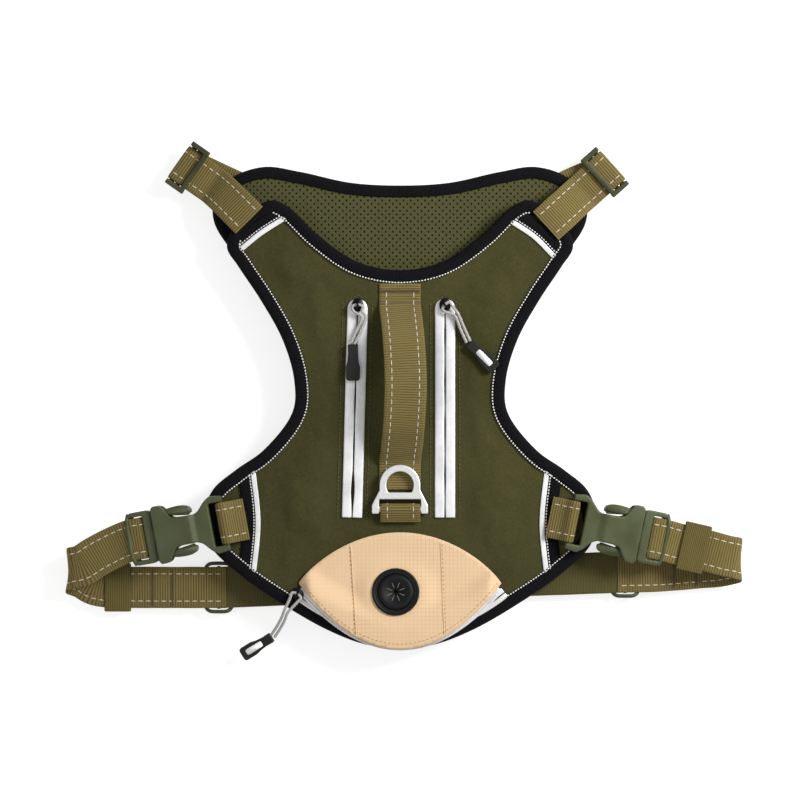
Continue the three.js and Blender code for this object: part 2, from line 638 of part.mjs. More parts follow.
function plugBody() {
  const { length, bar } = BUCKLE;
  const { reach, barAt, half, height } = PLUG;
  const start = length + GAP;
  const end = start + reach;
  const frame = flat([
    [start, -half + 1], [start + 3, -half], [end - 3, -half], [end, -half + 4], [end, half - 4],
    [end - 3, half], [start + 3, half], [start, half - 1],
  ]);
  const slotHalf = WEB_WIDTH / 2 + 0.6;
  const slot = box(start + 5.5, end + 1, -slotHalf, slotHalf, -height, height);
  const tongue = box(CAVITY.start + 1, start + 1, -3.4, 3.4, -2.7, 2.7);
  const cross = roundBar(bar, slotHalf).translate(barAt, 0, 0);
  const body = solid(prism(frame, -height / 2, height / 2)).subtract(solid(slot));
  return surface(body.add(solid(tongue)).add(solid(cross)));
}

function armBody(hand) {
  const root = BUCKLE.length - GAP;
  const outer = PLUG.armHalf;
  const plan = flat([
    [root, 9], [root, 13.6], [root - 9, outer - 0.8], [23, outer], [19.4, outer - 1.4],
    [18.2, outer - 4], [20, outer - 5.6], [root - 10, 10.4],
  ]);
  const made = plan.map((p) => new THREE.Vector2(p.x, hand * p.y));
  return prism(made, -PLUG.armHeight / 2, PLUG.armHeight / 2);
}

function buckle(side, { buckle: place }) {
  const group = new THREE.Group();
  group.position.set(place.x, place.y, BUCKLE_Z);
  group.rotation.set(0, radians(BUCKLE_DROP), radians(place.turn), "ZYX");
  vest.add(group);
  add(`buckle_socket_${side}`, socketBody(), "plastic", group);
  add(`buckle_plug_${side}`, plugBody(), "plastic", group);
  add(`buckle_arm_upper_${side}`, armBody(side === "left" ? -1 : 1), "plastic", group);
  add(`buckle_arm_lower_${side}`, armBody(side === "left" ? 1 : -1), "plastic", group);
  socketLoop(side, place);
  return group;
}

function socketLoop(side, place) {
  const bend = BUCKLE.bar / 2 + GAP + WEB_THICK / 2;
  const out = heading(place.turn);
  const base = new THREE.Vector3(place.x, place.y, 0);
  const sewn = BACK.top + GAP + WEB_THICK / 2;
  const profile = [[-9.4, sewn], [-5, sewn + 0.9], [-1.2, BUCKLE_Z - bend]];
  for (const angle of [-60, -20, 20, 60]) {
    const turn = radians(angle);
    profile.push([bend * Math.cos(turn), BUCKLE_Z + bend * Math.sin(turn)]);
  }
  const thickness = WEB_THICK + GAP;
  profile.push([-1.2, BUCKLE_Z + bend], [-5, sewn + 3.6], [-9.4, sewn + thickness]);
  const path = profile.map(([x, z]) => base.clone().addScaledVector(out, x).setZ(z));
  const across = path.map(() => new THREE.Vector3(-out.y, out.x, 0));
  add(`socket_loop_${side}`, ribbon(path, across, WEB_WIDTH, 22), "webbing");
}

// ---- Belly straps ----
function bellyStrap(side, { sign, buckle: place, front, curl, low }, group) {
  group.updateMatrixWorld(true);
  const bend = BUCKLE.bar / 2 + GAP + WEB_THICK / 2;
  const barAt = PLUG.barAt;
  const local = (x, z) => group.localToWorld(new THREE.Vector3(x, 0, z)).sub(vest.position);
  const path = [local(barAt + 8.5, -2.2), local(barAt + 4, -2.5), local(barAt, -bend)];
  for (const angle of [-130, -180, 130]) {
    const turn = radians(angle);
    path.push(local(barAt + bend * Math.cos(turn), bend * Math.sin(turn)));
  }
  path.push(local(barAt, bend), local(barAt + 6, 2.5));
  const out = heading(place.turn);
  const wide = new THREE.Vector3(-out.y, out.x, 0).multiplyScalar(sign);
  const across = path.map(() => wide.clone());
  const top = WEB_REST + 2 * CURL;
  const skew = (x, y) => new THREE.Vector3(x * sign, y, 0);
  const last = front.length - 1;
  front.forEach((p, i) => {
    path.push(at(p, top + (i === 0 ? 0.5 : 0)));
    across.push(skew(0.28 - 0.06 * i, 0.96));
  });
  const centre = WEB_REST + CURL;
  const [tipX, tipY] = curl;
  const [topX, topY] = front[last];
  const [lowX, lowY] = low;
  path.push(new THREE.Vector3(topX + (tipX - topX) * 0.75, (topY + tipY) / 2, centre + CURL * 0.72));
  path.push(new THREE.Vector3(tipX, tipY, centre));
  path.push(new THREE.Vector3(lowX + (tipX - lowX) * 0.75, (lowY + tipY) / 2, centre - CURL * 0.72));
  path.push(at(low, WEB_REST));
  across.push(skew(0.1, 1), skew(0.02, 1), skew(0, 1), skew(-0.02, 1));
  add(`belly_strap_${side}`, ribbon(path, across, WEB_WIDTH, 44), "webbing");
}

function bellyReturn(side, { sign, back }) {
  const heights = [WEB_REST, WEB_REST, WEB_REST, GLIDE_REST, GLIDE_REST];
  const path = back.map((p, i) => at(p, heights[i]));
  const across = path.map(() => new THREE.Vector3(0, -sign, 0));
  add(`belly_return_${side}`, ribbon(path, across, WEB_WIDTH, 18), "webbing");
}

function bellyWeb() {
  const [left, right] = [SIDES.left.back.at(-1), SIDES.right.back.at(-1)];
  const share = (x) => left[1] + ((right[1] - left[1]) * (x - left[0])) / (right[0] - left[0]);
  const stops = [
    [left[0] + 0.6, GLIDE_REST], [-86, GLIDE_REST], [-78, 3], [-70, 1.4], [-62, WEB_THICK / 2],
    [-40, WEB_THICK / 2], [40, WEB_THICK / 2], [66, WEB_THICK / 2], [76, 1.4], [88, 3],
    [100, GLIDE_REST], [right[0] - 0.6, GLIDE_REST],
  ];
  const path = stops.map(([x, z]) => new THREE.Vector3(x, share(x), z));
  const across = path.map(() => new THREE.Vector3(0, 1, 0));
  add("belly_web", ribbon(path, across, WEB_WIDTH, 24), "webbing");
}

function keeper(side, { keeper: place }) {
  const { length, thick } = KEEPER;
  const z = place.onReturn ? WEB_REST : WEB_REST + 2 * CURL + 0.6;
  const [w, h] = [WEB_WIDTH / 2 + 1.4, WEB_THICK / 2 + GAP + (place.onReturn ? 0 : 1)];
  const sleeve = solid(box(-length / 2, length / 2, -w - thick, w + thick, -h - thick, h + thick))
    .subtract(solid(box(-length, length, -w, w, -h, h)));
  const made = add(`strap_keeper_${side}`, surface(sleeve), "webbing");
  made.position.set(place.x, place.y, z);
  made.rotation.z = radians(place.turn);
}

// ---- The vest ----
panel(chestOutline, CHEST, ["chest_shell", "chest_foam", "chest_lining"], [FABRIC, CHEST_FOAM, FABRIC]);
panel(backOutline, BACK, ["back_lining", "back_foam", "back_shell"], [FABRIC, BACK_FOAM, FABRIC]);
binding("chest_binding", chestOutline, CHEST);
binding("back_binding", backOutline, BACK);
piping();
for (const [side, place] of Object.entries(SIDES)) {
  corners(side, place);
  zip(side, place);
  shoulder(side, place);
  bellyStrap(side, place, buckle(side, place));
  bellyReturn(side, place);
  keeper(side, place);
  const bars = [[-8.4, 1], [0, -1], [8.4, 1]];
  glide(`belly_slide_${side}`, place.glide, GLIDE_REST, bars, WEB_WIDTH, [-10, 10]);
}
pocketFlap();
pocketZip();
port();
grabHandle();
leashRing();
ringLoop();
bellyWeb();

export default vest;
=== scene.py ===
"""The look of a dog's safety harness vest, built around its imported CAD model.

Numbers are millimetres in the vest's sewing frame, whose x = 0 is the vest's middle seam and whose
z = 0 is the surface that it lies on. row() turns them into the row frame, in metres.
"""

import math

import bmesh
import bpy
import numpy as np
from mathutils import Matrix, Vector, geometry, noise


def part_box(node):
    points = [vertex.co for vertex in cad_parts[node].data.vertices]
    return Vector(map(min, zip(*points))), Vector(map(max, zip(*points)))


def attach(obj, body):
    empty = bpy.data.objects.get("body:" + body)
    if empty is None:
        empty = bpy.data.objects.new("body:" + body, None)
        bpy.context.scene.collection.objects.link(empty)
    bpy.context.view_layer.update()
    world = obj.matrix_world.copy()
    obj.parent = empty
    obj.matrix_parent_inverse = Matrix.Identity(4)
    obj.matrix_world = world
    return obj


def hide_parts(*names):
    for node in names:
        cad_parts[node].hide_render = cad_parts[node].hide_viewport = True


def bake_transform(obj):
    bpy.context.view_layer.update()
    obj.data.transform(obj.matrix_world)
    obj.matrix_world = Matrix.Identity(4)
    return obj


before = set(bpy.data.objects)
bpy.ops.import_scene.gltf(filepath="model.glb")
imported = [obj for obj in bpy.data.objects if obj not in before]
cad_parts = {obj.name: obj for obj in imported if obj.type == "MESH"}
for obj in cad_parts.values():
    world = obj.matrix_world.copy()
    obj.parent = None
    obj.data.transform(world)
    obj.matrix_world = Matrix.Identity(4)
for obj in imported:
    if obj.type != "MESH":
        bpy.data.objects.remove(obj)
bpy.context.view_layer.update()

# ---- Driving dimensions, as in the CAD ----
MM = 0.001
CENTRE = np.array([2.1, 3.6, 0.0])  # from the sewing centre to the row frame's origin
GAP = 0.3  # between neighbouring pieces
WEB_WIDTH = 25.0
SHOULDER_WIDTH = 23.0
SHOULDER_TOP = 8.2  # height of the strap's middle where it enters its slide
WEB_THICK = 1.3
BINDING_WIDTH = 7.2
RIB_PITCH = 1.55  # of the webbing's cross ribs
RIB_DEPTH = 0.17
CLOTH_ROOM = 2.8  # how far the back's cloth may stand up
PULL_ROOM = 1.25  # the same where a zip pull swings over it
STITCH = {"length": 3.4, "pitch": 4.7, "width": 0.62, "inset": 4.3, "rise": 0.26}
BEAD = {"length": 1.25, "pitch": 1.8, "width": 0.95}
REFLECTOR = 3.0
TRIM = 7.4
ZIP = {"width": 12.2, "low": -70.5, "high": 60.5, "start": 57.0, "thick": 0.8, "seam": 2.7}
POCKET = {"tip": 60.5, "top": -79.7, "bottom": -149.1, "tip_y": -110.0, "rise": 6.2, "thick": 1.0}
POCKET_ZIP = {"y": -41.8, "radius": 96.7, "width": 6.6, "half_angle": 40.5, "rest": 39.6}
PORT = {"x": -2.6, "y": -115.3, "radius": 14.2, "bore": 11.1, "height": 4.6, "tilt": 8.0}
HANDLE = {"top": 69.0, "free": 57.0, "low": -38.0, "end": -53.6, "rise": 22.0, "lean": 3.4}
HANDLE_BARTACKS = (65.3, 57.8)
RING = {"axis_y": -65.4, "bar": 3.6}
BUCKLE_BAR = 3.2
BUCKLE_DROP = 8.5  # degrees that a buckle slopes down outwards
PLUG_BAR_AT = 50.6  # from the socket's bar
PLUG_END = 58.3
KEEPER = {"length": 16.0, "thick": 0.8, "rounding": 0.35, "rib": 0.14, "pitch": 1.1}
PULL_THICK = 3.2
GLIDE_BAR = 2.4
CURL = 6.1  # radius of a belly strap's curl
WEB_REST = 1.95  # height of the return's middle, and of the same on the slide's bars
GLIDE_REST = 3.8
CORD = 1.8
FLOOR_DROP = 4.5  # a released belly strap slides 3.8 lower along its inclined buckle
FLAP_SEAMS = ((-29.6, -26.2), (24.3, 26.6))


def height(node, end):
    """A node's lowest (0) or highest (1) point, in millimetres."""
    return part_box(node)[end][2] / MM


FACE = height("zip_tape_left", 0)  # underside of what lies on the back panel
BACK_TOP = height("back_binding", 1)
SLIDER_LOW = height("zip_slider_left", 0)
EYE = SLIDER_LOW + 2.8  # height of the cord in a zip slider's eye
RING_Z = (height("leash_ring", 0) + height("leash_ring", 1)) / 2
BUCKLE_Z = BACK_TOP + 5.4

# Places in plan. A buckle's third number is its heading, and so is a fold's. The front, curl, low
# and tail points are a belly strap's line, and the back points its return's. A keeper's last two
# are its heading and whether it sits on the return. A zip's two are its upper and lower x. The
# start, fold and under points are a shoulder strap's line, and strip is the reflector beside it.
SIDES = {
    "left": {
        "sign": -1,
        "buckle": (-105.7, -73.8, 190.5),
        "front": [(-172, -88.6), (-183, -94.4), (-191, -99.4)],
        "curl": (-199.1, -102.5),
        "low": (-191, -107.4),
        "tail": [(-184.5, -111.2), (-175.5, -113)],
        "back": [(-184, -112.6), (-173, -113), (-162, -113), (-138, -113), (-109.3, -113)],
        "bartacks": (-149, -137),
        "keeper": (-170.2, -113, 0, True),
        "zip": (-25.3, -28.8),
        "pull": {"via": [(-21.8, 50), (-23.9, 43.5)], "end": (-28.2, 34.4), "turn": 0},
        "fold": (-131.3, 142.3, 145),
        "start": [(-84, 101.4), (-96, 113.4), (-107, 124.3)],
        "under": [(-124.6, 138.6), (-113, 133), (-99, 126.6)],
        "strip": [(-96.8, 89.3), (-83.4, 100.2), (-68.6, 109.6)],
    },
    "right": {
        "sign": 1,
        "buckle": (103, -72.8, -11.5),
        "front": [(169, -87), (184, -90.4), (196, -93.6)],
        "curl": (204.6, -96.3),
        "low": (196, -99.6),
        "tail": [(189.5, -100.6), (180, -101.3)],
        "back": [(189, -100.4), (180, -101.3), (170, -102.2), (155, -103.2), (135.7, -103.6)],
        "bartacks": (165, 178.5),
        "keeper": (176.5, -88.6, -13, False),
        "zip": (27, 27),
        "pull": {"via": [(33.5, 51.5), (37.5, 42.5)], "end": (41, 34.8), "turn": 45},
        "fold": (126.4, 139.9, 42),
        "start": [(80.7, 98.4), (92.9, 109.5), (104, 119.7)],
        "under": [(120.6, 135.6), (110, 131), (96, 124.6)],
        "strip": [(92.6, 85.9), (80.8, 97.8), (66.7, 107.3)],
    },
}

BACK_HALF = [
    (0, 78), (25.5, 83), (48.5, 98.5), (67, 116), (76.5, 120), (86, 116.5), (98, 106.5),
    (104, 92), (97, 80), (83.7, 60), (70.5, 36), (63.6, 12), (64.5, -7), (81.9, -30),
    (98.7, -42), (112.5, -54), (117.5, -68), (115, -86), (96, -105), (74, -120.5),
    (43.8, -138), (20, -147), (0, -149),
]
CHEST_HALF = [
    (0, 129.3), (30, 131), (60, 137.5), (82, 140.5), (101, 134), (112, 120), (112, 107),
    (100, 88), (72, 56), (50, 26), (46, -10), (54, -50), (58, -84), (48, -108), (24, -123),
    (0, -126),
]
FLANK_STRIP = [(88.3, -41), (85.2, -73.5), (88.3, -108)]


# ---- Lines and outlines ----
def spline(points, per=24, closed=False):
    """A smooth line through points, as many of them a span as asked for."""
    given = np.array(points, float)
    if closed:
        ends = np.vstack([given[-1], given, given[0], given[1]])
    else:
        ends = np.vstack([2 * given[0] - given[1], given, 2 * given[-1] - given[-2]])
    share = np.linspace(0, 1, per, endpoint=False)[:, None]
    line = []
    for i in range(len(ends) - 3):
        a, b, c, d = ends[i : i + 4]
        ab, bc, cd = (max(np.linalg.norm(q - p) ** 0.5, 1e-4) for p, q in ((a, b), (b, c), (c, d)))
        leave = ((b - a) / ab - (c - a) / (ab + bc) + (c - b) / bc) * bc
        arrive = ((c - b) / bc - (d - b) / (bc + cd) + (d - c) / cd) * bc
        square, cube = share**2, share**3
        line.append(
            b + share * leave + square * (3 * (c - b) - 2 * leave - arrive)
            + cube * (2 * (b - c) + leave + arrive)
        )
    if not closed:
        line.append(given[-1:])
    return np.vstack(line)


def lengths(line):
    """How far along a line each of its points lies."""
    return np.concatenate([[0], np.cumsum(np.linalg.norm(np.diff(line, axis=0), axis=1))])


def picked(at, along, line):
    """A line's points at given distances along it."""
    return np.stack([np.interp(at, along, line[:, k]) for k in range(line.shape[1])], axis=-1)


def spaced(line, step, closed=False):
    """The line again, with points evenly about a step apart."""
    if closed:
        line = np.vstack([line, line[:1]])
    along = lengths(line)
    at = np.linspace(0, along[-1], max(3, round(along[-1] / step)) + 1)
    made = picked(at, along, line)
    return made[:-1] if closed else made


def unit(vectors):
    """Vectors made one long."""
    return vectors / np.maximum(np.linalg.norm(vectors, axis=-1, keepdims=True), 1e-9)


def signed_area(outline):
    """An outline's area, below zero where it runs clockwise."""
    x, y = outline.T
    return np.sum(x * np.roll(y, -1) - np.roll(x, -1) * y) / 2


def inwards(outline):
    """The direction into an outline at each of its points."""
    along = np.roll(outline, -1, axis=0) - np.roll(outline, 1, axis=0)
    normal = unit(np.stack([along[:, 1], -along[:, 0]], axis=1))
    return normal if signed_area(outline) < 0 else -normal


def mirrored(half, step=1.5):
    """A closed smooth outline through half of it and that half's mirror image."""
    left = [(-x, y) for x, y in half[-2:0:-1]]
    return spaced(spline([*half, *left], closed=True), step, closed=True)


def off_outline(x, y, outline):
    """How far points are from an outline."""
    start = outline[None]
    edge = (np.roll(outline, -1, axis=0) - outline)[None]
    away = np.stack([x, y], axis=1)[:, None] - start
    share = np.clip((away * edge).sum(2) / (edge**2).sum(2), 0, 1)
    return np.linalg.norm(away - share[..., None] * edge, axis=2).min(axis=1)


def within(x, y, outline):
    """Which points are inside an outline."""
    ax, ay = outline.T
    bx, by = np.roll(outline, -1, axis=0).T
    crosses = (ay > y[:, None]) != (by > y[:, None])
    level = np.where(by == ay, 1, by - ay)
    return (crosses & (x[:, None] < ax + (y[:, None] - ay) * (bx - ax) / level)).sum(1) % 2 == 1


def smoothstep(value, low, high):
    share = np.clip((value - low) / (high - low), 0, 1)
    return share * share * (3 - 2 * share)


def heading(degrees):
    angle = math.radians(degrees)
    return np.array([math.cos(angle), math.sin(angle), 0.0])


def arc(radius, *degrees):
    """Places on a circle about the origin, at the given angles."""
    turns = [math.radians(angle) for angle in degrees]
    return [(radius * math.cos(turn), radius * math.sin(turn)) for turn in turns]


def at_height(line, z):
    """A plain line's points, all at one height or each at its own."""
    return np.column_stack([line, np.broadcast_to(z, len(line))])


def upright(line, z):
    """A run of stitches on a level surface: its points, and the way up at each of them."""
    return at_height(line, z), np.tile([0.0, 0.0, 1.0], (len(line), 1))


def ripple(points, size, seed=0.0):
    """Smooth noise of about that wavelength, from -1 to 1, at each point."""
    if points.shape[1] == 2:
        places = at_height(points / size, seed)
    else:
        places = points / size + [seed, 0, 0]
    return np.array([noise.noise(Vector(p)) for p in places])


# ---- Pieces ----
def row(points):
    return (np.asarray(points, float) - CENTRE) * MM


def linked(name, data):
    """A new object in the scene."""
    made = bpy.data.objects.new(name, data)
    bpy.context.scene.collection.objects.link(made)
    return made


def piece(name, points, faces, looks, body, replaces=(), slot=None, uv=None, which=None, flat=False):
    """A mesh piece from points in the sewing frame; which gives each face's material."""
    mesh = bpy.data.meshes.new(name)
    mesh.from_pydata(row(points).tolist(), [], [list(map(int, f)) for f in faces])
    for look in looks if isinstance(looks, (list, tuple)) else [looks]:
        mesh.materials.append(look)
    if which is not None:
        mesh.polygons.foreach_set("material_index", np.asarray(which, np.int32))
    mesh.polygons.foreach_set("use_smooth", [not flat] * len(mesh.polygons))
    if uv is not None:
        layer = mesh.uv_layers.new(name="along")
        corner = np.zeros(len(mesh.loops), np.int32)
        mesh.loops.foreach_get("vertex_index", corner)
        layer.data.foreach_set("uv", (np.asarray(uv)[corner] * MM).astype(np.float32).ravel())
    face_outwards(mesh)
    return settle_on(linked(name, mesh), body, replaces)


def face_outwards(mesh):
    work = bmesh.new()
    work.from_mesh(mesh)
    bmesh.ops.recalc_face_normals(work, faces=work.faces)
    work.to_mesh(mesh)
    work.free()
    mesh.update()


def settle_on(made, body, replaces=()):
    if body:
        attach(made, body)
    if replaces:
        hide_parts(*replaces)
    return made


def rings(count, around, closed=False):
    """The faces of a tube of count rings with that many points each."""
    faces = []
    last = count if closed else count - 1
    for i in range(last):
        for k in range(around):
            a, b = i * around + k, i * around + (k + 1) % around
            c, d = ((i + 1) % count) * around + (k + 1) % around, ((i + 1) % count) * around + k
            faces.append((a, b, c, d))
    if not closed:
        faces.append(tuple(range(around))[::-1])
        faces.append(tuple(range((count - 1) * around, count * around)))
    return faces


class Strip:
    """A smooth line with the direction of a strap's width at each point, and its upper side."""

    def __init__(self, path, across, step=0.3):
        self.line, side = spaced_with(spline(path), spline(across), step)
        along = unit(np.gradient(self.line, axis=0))
        side = unit(side - (side * along).sum(1)[:, None] * along)
        self.side, self.along, self.up = side, along, np.cross(along, side)
        self.s = lengths(self.line)

    def cut(self, by):
        """The strip without its first millimetres."""
        kept = self.s > by
        self.line, self.side, self.up = self.line[kept], self.side[kept], self.up[kept]
        self.along, self.s = self.along[kept], self.s[kept] - by
        return self

    def at(self, s, across, up):
        """Points at distances along the strip, across it and above it."""
        line, side, above = (picked(s, self.s, field) for field in (self.line, self.side, self.up))
        return line + side * across[..., None] + above * up[..., None]


def spaced_with(line, other, step):
    """Two lines sampled together, evenly along the first."""
    along = lengths(line)
    at = np.linspace(0, along[-1], max(3, round(along[-1] / step)) + 1)
    return picked(at, along, line), picked(at, along, other)


def webbing(name, strip, width, look, body, replaces=(), ribs=RIB_DEPTH, pitch=RIB_PITCH):
    """Webbing along a strip: cross ribs, rounded edges and a little unevenness."""
    columns = 13
    share = np.cos(np.linspace(math.pi, 0, columns))  # closer together at the edges
    count, half = len(strip.s), width / 2
    wave = np.abs(np.sin(math.pi * strip.s / pitch)) ** 0.7
    edge = half + 0.12 * wave - 0.12 + 0.12 * ripple(strip.line, 9.0)
    thickness = WEB_THICK / 2 - ribs * (1 - wave)
    round_off = np.sqrt(np.clip(1 - np.abs(share) ** 14, 0.02, 1))
    points, uv = [], []
    for way, order in ((1, share), (-1, share[::-1])):
        shape = round_off if way == 1 else round_off[::-1]
        lift = way * thickness[:, None] * shape[None]
        over = edge[:, None] * order[None]
        points.append(strip.line[:, None] + strip.side[:, None] * over[..., None]
                      + strip.up[:, None] * lift[..., None])
        uv.append(np.stack([np.broadcast_to(strip.s[:, None], over.shape), over], axis=-1))
    around = 2 * columns
    joined = np.concatenate(points, axis=1).reshape(-1, 3)
    made_uv = np.concatenate(uv, axis=1).reshape(-1, 2)
    faces = [f[::-1] for f in rings(count, around)]
    return piece(name, joined, faces, look, body, replaces, "webbing", made_uv)


def threads(name, runs, look, body, slot=None, length=3.5, pitch=4.7, width=0.8, rise=0.32):
    """Stitches: each run is a line with the surface's upward direction at each of its points."""
    around, stations = 6, 5
    turn = np.linspace(0, 2 * math.pi, around, endpoint=False)
    bulge = np.array([0.35, 0.85, 1.0, 0.85, 0.35])
    points, faces = [], []
    shape = [tuple(f) for f in rings(stations, around)]
    for line, up in runs:
        along = lengths(line)
        count = int((along[-1] + pitch - length) // pitch)
        if count < 1:
            continue
        first = (along[-1] - (count - 1) * pitch - length) / 2
        start = first + pitch * np.arange(count)
        s = start[:, None] + length * np.linspace(0, 1, stations)[None]
        centre, normal = picked(s, along, line), unit(picked(s, along, up))
        tangent = unit(np.gradient(centre, axis=1))
        side = unit(np.cross(tangent, normal))
        size = bulge[None, :, None, None]
        ring = (side[:, :, None] * (np.cos(turn) * width / 2)[None, None, :, None]
                + normal[:, :, None] * (np.sin(turn) * rise)[None, None, :, None]) * size
        made = (centre[:, :, None] + ring).reshape(count, -1, 3)
        for k in range(count):
            base = len(points) * stations * around
            points.append(made[k])
            faces += [tuple(i + base for i in f) for f in shape]
    return piece(name, np.vstack(points), faces, look, body, (), slot)


def beads(name, runs, wide=1.0, rise=0.42):
    """The pale dashes of reflective piping."""
    return threads(name, runs, LOOKS["thread"], "root", "reflective", BEAD["length"], BEAD["pitch"],
                   BEAD["width"] * wide, rise)


def strip_stitches(name, strip, width, look, body, skip=0.0, under=True):
    """Two rows of dashes on a strap's upper side, and on its lower side too."""
    s = strip.s[(strip.s >= skip) & (strip.s <= strip.s[-1] - skip)]
    off, above = width / 2 - STITCH["inset"], WEB_THICK / 2 + 0.02
    runs = []
    for way in (1, -1) if under else (1,):
        for hand in (-1, 1):
            line = strip.at(s, np.full(len(s), hand * off), np.full(len(s), way * above))
            runs.append((line, picked(s, strip.s, strip.up) * way))
    return threads(name, runs, look, body, "reflective", STITCH["length"], STITCH["pitch"],
                   STITCH["width"], STITCH["rise"])


def strap(name, stitches, strip, width, look, body, node, skip, under=True):
    """A strap of webbing with its two rows of stitches."""
    web = webbing(name, strip, width, look, body, (node,))
    return [web, strip_stitches(stitches, strip, width, LOOKS["dash"], body, skip, under)]


def slab(outline, spacing, top, thick, hole=None):
    """A thin closed solid over an outline: its points and faces, and which of them are on top."""
    rim = spaced(outline, spacing, closed=True)
    loops = [rim] + ([hole] if hole is not None else [])
    low, high = outline.min(0), outline.max(0)
    rows = np.arange(low[1], high[1], spacing * 0.866)
    grid = np.array([(x + (spacing / 2) * (j % 2), y) for j, y in enumerate(rows)
                     for x in np.arange(low[0], high[0], spacing)])
    inside = within(*grid.T, rim) & (off_outline(*grid.T, rim) > 0.55 * spacing)
    if hole is not None:
        inside &= ~within(*grid.T, hole) & (off_outline(*grid.T, hole) > 0.55 * spacing)
    flat = np.vstack([*loops, grid[inside]])
    edges, base = [], 0
    for loop in loops:
        edges += [(base + i, base + (i + 1) % len(loop)) for i in range(len(loop))]
        base += len(loop)
    made = geometry.delaunay_2d_cdt([Vector(p) for p in flat], edges, [], 0, 1e-6)
    flat = np.array([tuple(v) for v in made[0]])
    faces = np.array([f for f in made[2]])
    middle = flat[faces].mean(axis=1)
    kept = within(*middle.T, rim)
    if hole is not None:
        kept &= ~within(*middle.T, hole)
    faces = faces[kept]
    turned = np.cross(*(flat[faces[:, k]] - flat[faces[:, 0]] for k in (1, 2)))
    faces[turned < 0] = faces[turned < 0][:, ::-1]
    z = top(*flat.T)
    upper = np.column_stack([flat, z])
    lower = np.column_stack([flat, z - thick])
    count = len(flat)
    sides = {}
    for a, b, c in faces:
        for p, q in ((a, b), (b, c), (c, a)):
            if (q, p) in sides:
                del sides[(q, p)]
            else:
                sides[(p, q)] = True
    walls = [(p, p + count, q + count, q) for p, q in sides]
    every = [tuple(f) for f in faces] + [tuple(f[::-1] + count) for f in faces] + walls
    return np.vstack([upper, lower]), every, count, faces


# ---- Materials ----
class Look:
    """A material's node tree, with short ways to add nodes and join them."""

    def __init__(self, name, colour, roughness=0.8, metallic=0.0, **values):
        self.material = bpy.data.materials.new(name)
        self.material.use_nodes = True
        self.tree = self.material.node_tree
        self.shader = self.tree.nodes["Principled BSDF"]
        self.set(self.shader, "Base Color", (*linear(colour), 1))
        self.set(self.shader, "Roughness", roughness)
        self.set(self.shader, "Metallic", metallic)
        for key, value in values.items():
            self.set(self.shader, key.replace("_", " "), value)

    def set(self, node, socket, value):
        if isinstance(value, bpy.types.NodeSocket):
            self.tree.links.new(value, node.inputs[socket])
        else:
            node.inputs[socket].default_value = value

    def node(self, kind, output=0, **values):
        made = self.tree.nodes.new("ShaderNode" + kind)
        for key, value in values.items():
            if hasattr(made, key):
                setattr(made, key, value)
            else:
                self.set(made, int(key[1:]) if key[1:].isdigit() else key, value)
        return made.outputs[output]

    def place(self, uv=False):
        return self.node("TexCoord", "UV" if uv else "Object")

    def noise(self, where, scale, detail=2.0, roughness=0.5):
        return self.node("TexNoise", 0, Vector=where, Scale=scale, Detail=detail, Roughness=roughness)

    def waves(self, where, pitch, axis="X", profile="SIN", distortion=0.0):
        return self.node("TexWave", "Fac", Vector=where, Scale=math.tau / 20 / (pitch * MM),
                         bands_direction=axis, wave_profile=profile, Distortion=distortion)

    def math(self, operation, a, b=0.0):
        return self.node("Math", 0, operation=operation, i0=a, i1=b)

    def mix(self, factor, a, b):
        made = self.tree.nodes.new("ShaderNodeMix")
        made.data_type = "RGBA"
        for index, value in ((0, factor), (6, a), (7, b)):
            value = (*linear(value), 1) if isinstance(value, (str, tuple)) else value
            self.set(made, index, value)
        return made.outputs[2]

    def spread(self, value, low, high, to_low=0.0, to_high=1.0):
        made = self.tree.nodes.new("ShaderNodeMapRange")
        for index, number in enumerate((value, low, high, to_low, to_high)):
            self.set(made, index, number)
        return made.outputs[0]

    def parts(self, vector):
        split = self.tree.nodes.new("ShaderNodeSeparateXYZ")
        self.set(split, "Vector", vector)
        return split.outputs

    def total(self, *parts):
        """The sum of values, each taken as often as the number beside it says."""
        made = [self.math("MULTIPLY", value, by) if by != 1 else value for value, by in parts]
        total = made[0]
        for value in made[1:]:
            total = self.math("ADD", total, value)
        return total

    def tint(self, share, dark, light):
        self.set(self.shader, "Base Color", self.mix(share, dark, light))

    def bump(self, height_value, depth, strength=1.0):
        """Depth is in millimetres."""
        made = self.node("Bump", 0, Height=height_value, Distance=depth * MM, Strength=strength)
        self.set(self.shader, "Normal", made)


def linear(colour):
    """A colour in the scene's linear values, also where it is written as six hexadecimal digits."""
    if isinstance(colour, tuple):
        return colour
    parts = [int(colour[i : i + 2], 16) / 255 for i in (0, 2, 4)]
    return tuple(p / 12.92 if p <= 0.04045 else ((p + 0.055) / 1.055) ** 2.4 for p in parts)


def dimmed(colour, by):
    return tuple(by * part for part in linear(colour))


def canvas(name, dark, light, pitch=0.62, fuzz=0.35):
    """Plain-woven cloth: two crossing sets of threads, with flecks and slow shading."""
    look = Look(name, light, 0.92, Sheen_Weight=0.04, Specular_IOR_Level=0.1)
    where = look.place()
    warp, weft = (look.waves(where, pitch, axis, distortion=0.6) for axis in "XY")
    fine, coarse = look.noise(where, 1500, 3, 0.7), look.noise(where, 620, 3, 0.8)
    flecks = look.total((fine, 0.5), (coarse, 0.5))
    shade = look.total((flecks, 0.85), (look.noise(where, 14, 2), 0.35))
    look.tint(look.spread(shade, 0.35, 0.85), dark, light)
    look.bump(look.total((look.math("MAXIMUM", warp, weft), 1), (flecks, fuzz)), 0.12, 0.6)
    return look.material


